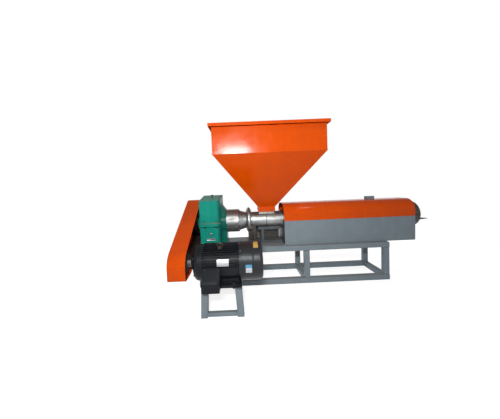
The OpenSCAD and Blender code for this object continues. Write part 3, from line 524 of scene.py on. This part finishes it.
# %% World
SIDE_LIGHT, TOP_LIGHT, STEEPEST = 0.48, 0.07, 0.9
RIGHT_SHARE = 0.4
CEILING_FROM, CEILING_FULL, CEILING_SHADE = 0.15, 0.75, 0.35
world = bpy.data.worlds.new("studio")
bpy.context.scene.world = world
world.use_nodes = True
tree = world.node_tree
tree.nodes.clear()
way = wire(tree, "ShaderNodeTexCoord").outputs["Generated"]
steep = part_of(tree, way, "Z")
from_right = ranged(tree, part_of(tree, way, "X"), 0.0, STEEPEST, 1.0, RIGHT_SHARE)
soft_light = product(tree, ranged(tree, steep, 0.0, STEEPEST, SIDE_LIGHT, TOP_LIGHT), from_right)
sky = wire(tree, "ShaderNodeBackground", {"Color": WHITE, "Strength": soft_light})
shown, by_camera = looked_at(tree)
ceiling = ranged(tree, steep, CEILING_FROM, CEILING_FULL, 1.0, CEILING_SHADE)
bright = sums(tree, "MAXIMUM", ceiling, by_camera)
white = wire(tree, "ShaderNodeBackground", {"Color": WHITE, "Strength": bright})
both = wire(tree, "ShaderNodeMixShader", {0: shown, 1: sky.outputs[0], 2: white.outputs[0]})
tree.links.new(both.outputs[0], wire(tree, "ShaderNodeOutputWorld").inputs["Surface"])
print("world light", SIDE_LIGHT, "at the sides,", TOP_LIGHT, "above")

# %% [markdown]
# ## The lamps
# One bright strip near the camera lights the front and fades along the machine, and a narrow beam from the same place
# glares on the hopper's lower edge. A small lamp overhead puts the spark on the barrel cover, and two large ones light
# the back without glare.

# %% Lamps


def lamp(name, place, target, size, power, spread=180, lights=True, glares=True):
    """A soft lamp, so wide and so high, that looks at a point, and lights surfaces, glares on them or both."""
    data = bpy.data.lights.new(name, "AREA")
    data.shape = "RECTANGLE"
    data.size, data.size_y = size
    data.energy = power
    data.spread = math.radians(spread)
    made = bpy.data.objects.new(name, data)
    made.matrix_world = Matrix.Translation(place) @ (target - place).to_track_quat("-Z", "Y").to_matrix().to_4x4()
    made.visible_diffuse = lights
    made.visible_glossy = glares
    bpy.context.scene.collection.objects.link(made)
    print(name, power, "W")


strip_at, strip_to, STRIP, BACK_LAMP = spot(370, -3050, 1850), spot(560, -300, 950), (0.6, 0.1), (1.6, 1.2)
lamp("strip_lamp", strip_at, strip_to, STRIP, power=28, spread=110, glares=False)
lamp("glare_lamp", strip_at, strip_to, STRIP, power=8, spread=50, lights=False)
lamp("ceiling_lamp", spot(1870, -1200, 3000), spot(1250, 0, 800), (0.18, 0.18), power=8)
lamp("back_left_lamp", spot(-1100, 2700, 1150), spot(900, 0, 800), BACK_LAMP, power=36, glares=False)
lamp("back_right_lamp", spot(2700, 3200, 1150), spot(1500, 0, 800), BACK_LAMP, power=36, glares=False)

# %% [markdown]
# ## Tools of the bench
# Modelling by code is the same as by hand: select, then operate. These few helpers clear the selection, take one object
# into edit mode, and select its faces or edges by a test.

# %% Selecting
ALONG = 0.9  # a face or an edge points along an axis when this much of its direction does


def clear_bench():
    """Leaves edit mode and deselects everything."""
    if bpy.context.object and bpy.context.object.mode != "OBJECT":
        bpy.ops.object.mode_set(mode="OBJECT")
    bpy.ops.object.select_all(action="DESELECT")


def work_on(piece):
    """Makes one object the only selected one."""
    clear_bench()
    piece.select_set(True)
    bpy.context.view_layer.objects.active = piece


def pick(piece, kind, test):
    """Goes to edit mode with the faces or edges selected whose direction passes a test."""
    work_on(piece)
    bpy.ops.object.mode_set(mode="EDIT")
    bpy.ops.mesh.select_mode(type=kind)
    bpy.ops.mesh.select_all(action="DESELECT")
    bpy.ops.object.mode_set(mode="OBJECT")
    mesh = piece.data
    if kind == "FACE":
        for face in mesh.polygons:
            face.select = bool(test(face.normal))
    else:
        for edge in mesh.edges:
            start, end = (mesh.vertices[i].co for i in edge.vertices)
            edge.select = bool(test((end - start).normalized()))
    bpy.ops.object.mode_set(mode="EDIT")


print("bench tools", [helper.__name__ for helper in (clear_bench, work_on, pick)])

# %% [markdown]
# ## Starting shapes
# Most pieces start as a box between two corners or as a line that is spun round an axis. A line is drawn as by hand: a
# small plane is merged to one point, the point is moved to the start, and then it is extruded from place to place.

# %% Boxes and spun lines


def block(name, low, high):
    """A box between two corners, the start of many pieces."""
    clear_bench()
    bpy.ops.mesh.primitive_cube_add(size=1, location=(low + high) / 2, scale=high - low)
    bpy.context.object.name = name
    bpy.ops.object.transform_apply(location=True, rotation=True, scale=True)
    return bpy.context.object


def spun(name, profile, centre, start=90, sweep=360, steps=64):
    """Draws a line of (x, radius) points beside an axis along X, at a start angle, and spins it round that axis."""
    clear_bench()
    bpy.ops.mesh.primitive_plane_add(size=0.01, location=(0, 0, 0))
    piece = bpy.context.object
    piece.name = name
    out = outward(start)
    line = [centre + Vector((x, 0, 0)) * MM + out * radius * MM for x, radius in profile]
    bpy.ops.object.mode_set(mode="EDIT")
    bpy.ops.mesh.select_mode(type="VERT")
    bpy.ops.mesh.select_all(action="SELECT")
    bpy.ops.mesh.merge(type="CENTER")
    bpy.ops.transform.translate(value=line[0])
    for here, there in zip(line, line[1:]):
        bpy.ops.mesh.extrude_region_move(TRANSFORM_OT_translate={"value": there - here})
    bpy.ops.mesh.select_all(action="SELECT")
    bpy.ops.mesh.spin(steps=steps, angle=math.radians(sweep), center=centre, axis=(1, 0, 0))
    bpy.ops.mesh.select_all(action="SELECT")
    bpy.ops.mesh.remove_doubles(threshold=1e-6)
    bpy.ops.object.mode_set(mode="OBJECT")
    return piece


print("starting shapes", block.__name__, spun.__name__)

# %% [markdown]
# ## Finishing a piece
# Modifiers round the edges or give a skin its wall, and they are applied at once. Then the piece's place is fixed in
# its mesh, its normals point outwards, it is smoothed and painted, and it rides with the machine.

# %% Rounding, walls and the last steps


def rounded(piece, width, segments=2, angle=40):
    """Rounds all edges sharper than an angle with an applied Bevel modifier."""
    work_on(piece)
    bevel = piece.modifiers.new("rounding", "BEVEL")
    bevel.width = width
    bevel.segments = segments
    bevel.limit_method = "ANGLE"
    bevel.angle_limit = math.radians(angle)
    bpy.ops.object.modifier_apply(modifier=bevel.name)


def thickened(piece, thickness, offset):
    """Gives a skin its wall with an applied Solidify modifier."""
    work_on(piece)
    wall = piece.modifiers.new("thickness", "SOLIDIFY")
    wall.thickness = thickness
    wall.offset = offset
    bpy.ops.object.modifier_apply(modifier=wall.name)


def fitted(piece, finish, slot):
    """Fixes a piece's place in its mesh, smooths it, paints it and lets it ride with the machine."""
    work_on(piece)
    bpy.ops.object.transform_apply(location=True, rotation=True, scale=True)
    bpy.ops.object.mode_set(mode="EDIT")
    bpy.ops.mesh.select_all(action="SELECT")
    bpy.ops.mesh.normals_make_consistent(inside=False)
    bpy.ops.object.mode_set(mode="OBJECT")
    bpy.ops.object.shade_smooth_by_angle(angle=math.radians(35))
    piece.data.materials.clear()
    piece.data.materials.append(finish)
    piece.data.name = piece.name
    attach(piece, "root")
    print(piece.name, len(piece.data.polygons), "faces")
    return piece


def joined_copies(name, template, transforms):
    """Copies of a template, each with its own mesh, moved by a transform and joined to one object."""
    clear_bench()
    for transform in transforms:
        copy = template.copy()
        copy.data = template.data.copy()
        copy.data.transform(transform)
        bpy.context.scene.collection.objects.link(copy)
        copy.select_set(True)
        bpy.context.view_layer.objects.active = copy
    bpy.ops.object.join()
    bpy.context.object.name = name
    return bpy.context.object


print("finishing tools", [helper.__name__ for helper in (rounded, thickened, fitted, joined_copies)])

# %% [markdown]
# ## One bolt for all
# A hexagon head starts as a six-sided cylinder. Its top is inset and raised for the turned chamfer, and a rounded
# washer goes under it. The bolt is modelled once, and a copy with its own mesh goes to every place.

# %% Bolt and copies
HEAD_RADIUS, HEAD_HEIGHT = 0.010, 0.007
WASHER_RADIUS, WASHER_HEIGHT = 0.0135, 0.002
UP, DOWN, LEFT, RIGHT = (0, 0, 1), (0, 0, -1), (-1, 0, 0), (1, 0, 0)
clear_bench()
head_middle = (0, 0, WASHER_HEIGHT + HEAD_HEIGHT / 2)
bpy.ops.mesh.primitive_cylinder_add(vertices=6, radius=HEAD_RADIUS, depth=HEAD_HEIGHT, location=head_middle)
bolt = bpy.context.object
bpy.ops.object.transform_apply(location=True)
pick(bolt, "FACE", lambda normal: normal.z > ALONG)
bpy.ops.mesh.inset(thickness=0.0014, depth=0.0009)
bpy.ops.mesh.inset(thickness=0.003, depth=-0.0003)
clear_bench()
washer_middle = (0, 0, WASHER_HEIGHT / 2)
bpy.ops.mesh.primitive_cylinder_add(vertices=20, radius=WASHER_RADIUS, depth=WASHER_HEIGHT, location=washer_middle)
washer = bpy.context.object
bpy.ops.object.transform_apply(location=True)
rounded(washer, 0.0005, 1)
bolt.select_set(True)
bpy.context.view_layer.objects.active = bolt
bpy.ops.object.join()


def bolts(name, places, finish=zinc, slot="machined_steel"):
    """Copies of the bolt at (point, direction, size), joined to one piece."""
    transforms = []
    for point, direction, size in places:
        turn = Vector(UP).rotation_difference(Vector(direction)).to_matrix().to_4x4()
        transforms.append(Matrix.Translation(point) @ turn @ Matrix.Scale(size, 4))
    return fitted(joined_copies(name, bolt, transforms), finish, slot)


def evenly(count, first):
    """The angles of so many bolts round a full circle."""
    return [first + 360 * i / count for i in range(count)]


def ring_of(angles, x, radius, centre, size, direction=None):
    """Places for bolts round an axis along X, in one direction or, if none is given, each facing outwards."""
    places = []
    for angle in angles:
        out = outward(angle)
        places.append((centre + Vector((x, 0, 0)) * MM + out * radius * MM, direction or out, size))
    return places


print("bolt", len(bolt.data.polygons), "faces")

# %% [markdown]
# ## Bolts of the gearbox
# The two halves of the gear case are clamped along their flange. Heads sit on top of the flange and nuts hang below
# it. The rows follow the flange's measures on the drawing, and the columns what the photograph shows.

# %% Gearbox bolts
CASE_LEFT, CASE_RIGHT, CASE_FRONT, CASE_BACK = 11, 255, -140, 245
FLANGE_TOP, FLANGE_LOW = AXIS + 20, AXIS - 38
SIDE_LIP, END_LIP = 23, 11
BOLT_PIXELS, BOLT_PIXEL_ROW = (205, 216.5), 228.5
GEAR_FOOT_X, GEAR_FOOT_TOP = 272, 466
columns = [(seen(px, BOLT_PIXEL_ROW, CASE_FRONT).x - frame_left) / MM for px in BOLT_PIXELS]
rows = [(x, y) for x in columns for y in (CASE_FRONT - SIDE_LIP / 2, CASE_BACK + SIDE_LIP / 2)]
rows += [(CASE_RIGHT + 4, y) for y in (175, 225)]
places = [(spot(x, y, FLANGE_TOP), UP, 0.8) for x, y in rows]
# the nuts below are large and dark iron: real nuts, and painted shade for the dark pockets under the flange
places += [(spot(x, y, FLANGE_LOW), DOWN, 1.3) for x, y in rows]
bolts("split_flange_bolts", places, dark_iron, "dark_steel")
bolts("gearbox_foot_bolts", [(spot(GEAR_FOOT_X, y, GEAR_FOOT_TOP), UP, 1.1) for y in (-80, 110, 215)])

# %% [markdown]
# ## Bolts of the screw line, the hopper neck and the die end
# Round flanges get their bolts on a circle. The small collar under the hopper is held by two bolts on each side.

# %% Ring bolts and neck bolts
HOUSING_FACE, HOUSING_CIRCLE = 462, 124
RING_FACE, RING_CIRCLE, RING_ANGLES = 600, 129, (-38, 10, 58, 122, 170, 218)
HEAD_CIRCLE = 112
NECK, NECK_PIXELS, NECK_PIXEL_ROW, NECK_BOLT = 98, (262, 271.5), 209.5, 0.62
places = ring_of(evenly(8, 22.5), HOUSING_FACE, HOUSING_CIRCLE, screw_centre, 1.0, RIGHT)
bolts("thrust_housing_bolts", places, dark_iron, "dark_steel")
bolts("ring_flange_bolts", ring_of(RING_ANGLES, RING_FACE, RING_CIRCLE, screw_centre, 1.05, RIGHT))
neck_low, neck_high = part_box("hopper_neck")
middle_x = (neck_low.x + neck_high.x) / 2
left_bolt, right_bolt = (seen(px, NECK_PIXEL_ROW, -NECK) for px in NECK_PIXELS)
bolt_reach = (right_bolt.x - left_bolt.x) / 2
bolt_z = (left_bolt.z + right_bolt.z) / 2
places = []
for side, corner in ((-1, neck_low), (1, neck_high)):
    for shift in (-bolt_reach, bolt_reach):
        places.append((Vector((middle_x + shift, corner.y, bolt_z)), (0, side, 0), NECK_BOLT))
        places.append((Vector((corner.x, screw_y + shift, bolt_z)), (side, 0, 0), NECK_BOLT))
bolts("neck_bolts", places, dark_iron, "dark_steel")
head_face = (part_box("die_head")[1].x - frame_left) / MM
places = ring_of(evenly(8, 22.5), head_face, HEAD_CIRCLE, screw_centre, 1.15, RIGHT)
bolts("die_head_bolts", places, dark_iron, "dark_steel")

# %% [markdown]
# ## Bolts of the motor
# The drive-end shield is screwed to the body at its rim, the fan cowl by four small screws, and long bolts with nuts
# hold the feet to the stand. The nuts show below the feet beside the stand's legs.

# %% Motor bolts
SHIELD_FACE, SHIELD_CIRCLE = 64, 148
COWL_SCREW_X, COWL_SCREW_CIRCLE = 478, 177
FOOT_COLUMNS, FOOT_REACH, FOOT_TOP, FOOT_LOW, NUT_LOW = (206, 409), 148, 264, 240, 229
places = ring_of(evenly(6, 30), SHIELD_FACE, SHIELD_CIRCLE, motor_centre, 0.8, LEFT)
bolts("shield_bolts", places, dark_iron, "dark_steel")
bolts("cowl_screws", ring_of(evenly(4, 45), COWL_SCREW_X, COWL_SCREW_CIRCLE, motor_centre, 0.5))
places = []
for x in FOOT_COLUMNS:
    for y in (MOTOR_Y - FOOT_REACH, MOTOR_Y + FOOT_REACH):
        for z, direction, size in ((FOOT_TOP, UP, 1.1), (FOOT_LOW, DOWN, 1.3), (NUT_LOW, DOWN, 0.95)):
            places.append((spot(x, y, z), direction, size))
bolts("foot_bolts", places, dark_iron, "dark_steel")

# %% [markdown]
# ## Sealant at the gearbox joint
# Brown paste squeezed out where the two halves meet. It is a thin uneven band round the flange: a box without top and
# bottom, rounded at its upright corners like the flange, cut finely, roughened and given thickness.

# %% Sealant bead
BEAD_HALF, BEAD_CORNER, BEAD_SWAY, BEAD_WALL = 2.8, 0.021, 0.0009, 0.0022
paste_bead = block(
    "joint_sealant",
    spot(CASE_LEFT - END_LIP, CASE_FRONT - SIDE_LIP, AXIS - BEAD_HALF),
    spot(CASE_RIGHT + END_LIP, CASE_BACK + SIDE_LIP, AXIS + BEAD_HALF),
)
pick(paste_bead, "FACE", lambda normal: abs(normal.z) > ALONG)
bpy.ops.mesh.delete(type="FACE")
pick(paste_bead, "EDGE", lambda way: abs(way.z) > ALONG)
bpy.ops.mesh.bevel(offset=BEAD_CORNER, segments=5, affect="EDGES")
bpy.ops.mesh.select_all(action="SELECT")
bpy.ops.mesh.subdivide(number_cuts=12)
bpy.ops.object.mode_set(mode="OBJECT")
for vertex in paste_bead.data.vertices:
    x, y = vertex.co.xy
    vertex.co.z += BEAD_SWAY * math.sin(140 * x + 90 * y) * math.sin(310 * y - 170 * x)
thickened(paste_bead, BEAD_WALL, 1)
fitted(paste_bead, paste, "dark_steel")

# %% [markdown]
# ## Oil plug and blank plate on the gearbox
# A round plug with a raised boss and a small plain plate sit on the lower case. The plug starts as a short cylinder
# whose top is inset and extruded. The plate is a box with rounded corners and a sunk panel.

# %% Plug and plate
PLUG_RADIUS, PLUG_HEIGHT, BOSS_HEIGHT = 0.016, 0.010, 0.006
PLATE_PROUD, PLATE_SUNK = 0.0022, 0.001
clear_bench()
plug_place = seen(211, 234.5, CASE_FRONT)
bpy.ops.mesh.primitive_cylinder_add(vertices=24, radius=PLUG_RADIUS, depth=PLUG_HEIGHT, location=plug_place)
plug = bpy.context.object
plug.name = "oil_plug"
pick(plug, "FACE", lambda normal: normal.z > ALONG)
bpy.ops.mesh.inset(thickness=0.006, depth=0.0)
bpy.ops.mesh.extrude_region_move(TRANSFORM_OT_translate={"value": (0, 0, BOSS_HEIGHT)})
bpy.ops.object.mode_set(mode="OBJECT")
plug.rotation_euler = (math.radians(90), 0, 0)
rounded(plug, 0.0008, 1)
fitted(plug, zinc, "machined_steel")

plate_a, plate_b = seen(207, 241, CASE_FRONT), seen(216, 238, CASE_FRONT)
case_plate = block(
    "gearbox_plate",
    Vector((plate_a.x, plate_a.y - PLATE_PROUD, plate_a.z)),
    Vector((plate_b.x, plate_a.y + PLATE_SUNK, plate_b.z)),
)
pick(case_plate, "EDGE", lambda way: abs(way.y) > ALONG)
bpy.ops.mesh.bevel(offset=0.006, segments=3, affect="EDGES")
pick(case_plate, "FACE", lambda normal: normal.y < -ALONG)
bpy.ops.mesh.inset(thickness=0.003, depth=0.0)
bpy.ops.mesh.inset(thickness=0.0008, depth=-0.0005)
bpy.ops.object.mode_set(mode="OBJECT")
fitted(case_plate, plate_metal, "machined_steel")

# %% [markdown]
# ## Lid of the terminal box
# The sloping face of the terminal box is a lid: a plate with rounded corners, a raised panel and a screw in each
# corner. It is modelled flat and then turned onto the slope.

# %% Terminal lid
LID_X, LID_THICK, LID_CORNER, SCREW_INSET = 226, 0.005, 0.026, 0.013
lid_bottom = spot(LID_X, MOTOR_Y - 285, 324)
lid_top = spot(LID_X, MOTOR_Y - 170, 420)
lid_middle = (lid_bottom + lid_top) / 2
slope = lid_top - lid_bottom
lean = math.atan2(slope.z, slope.y)
half_wide, half_long = 0.071, slope.length / 2 - 0.003
lid = block("terminal_lid", Vector((-half_wide, -half_long, 0)), Vector((half_wide, half_long, LID_THICK)))
pick(lid, "EDGE", lambda way: abs(way.z) > ALONG)
bpy.ops.mesh.bevel(offset=LID_CORNER, segments=6, affect="EDGES")
pick(lid, "FACE", lambda normal: normal.z > ALONG)
bpy.ops.mesh.inset(thickness=0.015, depth=0.0)
bpy.ops.mesh.inset(thickness=0.004, depth=0.004)
bpy.ops.object.mode_set(mode="OBJECT")
rounded(lid, 0.0012)
lid.location = lid_middle
lid.rotation_euler = (lean, 0, 0)
fitted(lid, cowl_black, "motor_paint")

lid_out = Vector((0, -math.sin(lean), math.cos(lean)))
lid_along = Vector((0, math.cos(lean), math.sin(lean)))
places = []
for side in (-1, 1):
    for end in (-1, 1):
        corner = lid_middle + Vector((side * (half_wide - SCREW_INSET), 0, 0))
        corner += lid_along * end * (half_long - SCREW_INSET) + lid_out * LID_THICK
        places.append((corner, lid_out, 0.42))
bolts("terminal_lid_screws", places, dark_iron, "dark_steel")

# %% [markdown]
# ## Plates and foils on the motor
# A bright plate is riveted over the fins, and two stickers, left plain here, are laid on the round cowl. A strip that
# follows a cylinder is a short line spun through a few degrees and then thickened.

# %% Curved plates
OVER_FINS, RIVET_SEAT, ON_COWL = 173.5, 174, 177.4


def strip(name, left, right, radius, low, high, thickness, finish, slot):
    """A thin plate on the motor between two lengths and two angles above the front."""
    line = [(left, radius), ((left + right) / 2, radius), (right, radius)]
    piece = spun(name, line, motor_centre, low, high - low, steps=16)
    thickened(piece, thickness * MM, 0)
    fitted(piece, finish, slot)
    span = [v.co.z / MM for v in piece.data.vertices]
    print(name, "from", round(min(span)), "to", round(max(span)), "mm above the floor")


strip("motor_plate", 272, 376, OVER_FINS, 4, 24, 2.4, plate_metal, "machined_steel")
strip("yellow_sticker", 588, 640, ON_COWL, 54, 82, 0.8, yellow_foil, "motor_paint")
strip("blue_sticker", 522, 576, ON_COWL, -3, 6, 0.8, blue_foil, "motor_paint")
strip("white_sticker", 522, 576, ON_COWL, -18, -3, 0.8, white_foil, "motor_paint")
places = []
for x in (278, 370):
    places += ring_of((6, 22), x, RIVET_SEAT, motor_centre, 0.28)
bolts("motor_plate_rivets", places)

# %% [markdown]
# ## Seam of the feed section
# The feed section is made of two lengths. Their seam shows as a thin dark line round the lower side. It is a low
# rounded rib, spun from the front round the bottom to the back, so that it ends beside the throat.

# %% Feed seam
SEAM_X, SEAM_START, SEAM_SWEEP = 787, 142, 256
feed_low, feed_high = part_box("feed_section")
feed_radius = (feed_high.y - feed_low.y) / 2 / MM
rib = [(-2.2, -0.6), (-1.8, 0.5), (-0.8, 0.9), (0.8, 0.9), (1.8, 0.5), (2.2, -0.6)]
rib = [(SEAM_X + x, feed_radius + r) for x, r in rib]
fitted(spun("feed_seam", rib, screw_centre, SEAM_START, SEAM_SWEEP, steps=72), dark_iron, "dark_steel")
print("feed radius", round(feed_radius, 1))

# %% [markdown]
# ## Web of the pedestal
# A plate joins the cast foot to the plate behind the stool. Its dark iron is painted shade for the shaded opening
# behind the stool. It is a box with rounded edges, and a shallow panel is pressed into both of its faces.

# %% Pedestal web
FOOT_RIGHT, STOOL_POST, WEB_FRONT, WEB_BACK = 655, 721, 58, 61
web_low, web_high = spot(FOOT_RIGHT, WEB_FRONT, 0), spot(STOOL_POST, WEB_BACK, 0)
web_low.z, web_high.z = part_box("barrel_base")[1].z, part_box("barrel_stool")[1].z
web = block("pedestal_web", web_low, web_high)
pick(web, "FACE", lambda normal: abs(normal.y) > ALONG)
bpy.ops.mesh.inset(thickness=0.009, depth=0.0, use_individual=True)
bpy.ops.mesh.inset(thickness=0.002, depth=-0.0008, use_individual=True)
bpy.ops.object.mode_set(mode="OBJECT")
rounded(web, 0.0006)
# dark iron here is painted shade for the opening behind the stool
fitted(web, dark_iron, "dark_steel")

# %% [markdown]
# ## Rolled beads on the fan cowl
# The sheet cowl is made of two lengths. Where they meet, the sheet is rolled to a low bead, and a flat band closes its
# inner edge. Each is a short line of points spun once round the motor's axis.

# %% Cowl beads
BEAD_X = 590
arch = [(-9, 176.0), (-8, 177.4), (-5, 179.2), (0, 180.0), (5, 179.2), (8, 177.4), (9, 176.0)]
edge_band = [(466, 176.5), (466, 178.6), (469, 179.4), (486, 179.4), (489, 178.6), (489, 176.5)]
fitted(spun("cowl_bead", [(BEAD_X + x, r) for x, r in arch], motor_centre, steps=96), cowl_black, "motor_paint")
fitted(spun("cowl_edge_band", edge_band, motor_centre, steps=96), cowl_black, "motor_paint")

# %% [markdown]
# ## Hub of the motor pulley
# Between the guard and the motor a grey hub shows on the shaft: a plain clamping bush, turned in one piece.

# %% Pulley hub
hub = [(-24, 24.4), (-24, 44), (-10, 44), (-8, 42), (14, 42), (18, 39), (18, 24.4)]
fitted(spun("pulley_hub", hub + hub[:1], motor_centre), zinc, "machined_steel")

# %% [markdown]
# ## Welds
# The hopper's sloping plates and the frame's tubes are welded. A bead is a row of small overlapping drops. One drop is
# a ball of few faces, and stretched copies of it follow each seam.

# %% Weld drops
OVERLAP = 1.1
clear_bench()
bpy.ops.mesh.primitive_uv_sphere_add(segments=8, ring_count=5, radius=1, location=(0, 0, 0))
drop = bpy.context.object


def weld(name, seams, size, pitch, finish, slot):
    """Rows of drops along (start, end) seams, joined to one piece."""
    transforms = []
    for start, end in seams:
        along = end - start
        count = max(2, round(along.length / pitch))
        turn = Vector(RIGHT).rotation_difference(along).to_matrix().to_4x4()
        shape = Matrix.Diagonal((pitch * OVERLAP, size, size, 1))
        transforms += [Matrix.Translation(start + along * i / count) @ turn @ shape for i in range(count + 1)]
    fitted(joined_copies(name, drop, transforms), finish, slot)


HOPPER_X, BIN, FOLD_Z, FUNNEL_Z, SUNK = 794, 542, 1426, 868, 2
low_reach, high_reach = NECK - SUNK, BIN - SUNK
seams = []
for sx in (-1, 1):
    for sy in (-1, 1):
        low_end = spot(HOPPER_X + sx * low_reach, sy * low_reach, FUNNEL_Z)
        seams.append((low_end, spot(HOPPER_X + sx * high_reach, sy * high_reach, FOLD_Z)))
weld("hopper_welds", seams, 0.0035, 0.011, orange, "orange_paint")

TUBE, RAIL_TOP, RAIL_LOW, FRONT, BACK = 60, 370, 60, -230, 230
LEG_LEFTS, SEAM_END = (0, 1182, 2076), 8
seams = []
for left in LEG_LEFTS:
    for z in (RAIL_LOW, RAIL_TOP):
        for y in (FRONT, FRONT + TUBE, BACK, BACK - TUBE):
            seams.append((spot(left + SEAM_END, y, z), spot(left + TUBE - SEAM_END, y, z)))
weld("frame_welds", seams, 0.0028, 0.007, grey, "grey_paint")

# %% [markdown]
# ## Lip of the barrel cover
# The orange arch ends in a narrow folded lip where it meets the grey side. The lip casts the fine dark line that parts
# the two colours. It is a long box whose lower edge is folded in.

# %% Cover lip
LIP_LEFT, LIP_RIGHT, LIP_LOW, LIP_TOP, LIP_THICK = 978, 2457, AXIS - 1, AXIS + 9, 2
FOLD_IN, FOLD_DOWN = 0.0012, -0.0018
for name, y, inward in (("cover_lip_front", -191.4, 1), ("cover_lip_back", 189.4, -1)):
    lip = block(name, spot(LIP_LEFT, y, LIP_LOW), spot(LIP_RIGHT, y + LIP_THICK, LIP_TOP))
    pick(lip, "FACE", lambda normal: normal.z < -ALONG)
    bpy.ops.mesh.extrude_region_move(TRANSFORM_OT_translate={"value": (0, inward * FOLD_IN, FOLD_DOWN)})
    bpy.ops.object.mode_set(mode="OBJECT")
    rounded(lip, 0.0006, angle=25)
    fitted(lip, orange, "orange_paint")

# %% [markdown]
# ## Clearing up
# The templates go.

# %% Finish
for template in (bolt, drop):
    bpy.data.objects.remove(template)
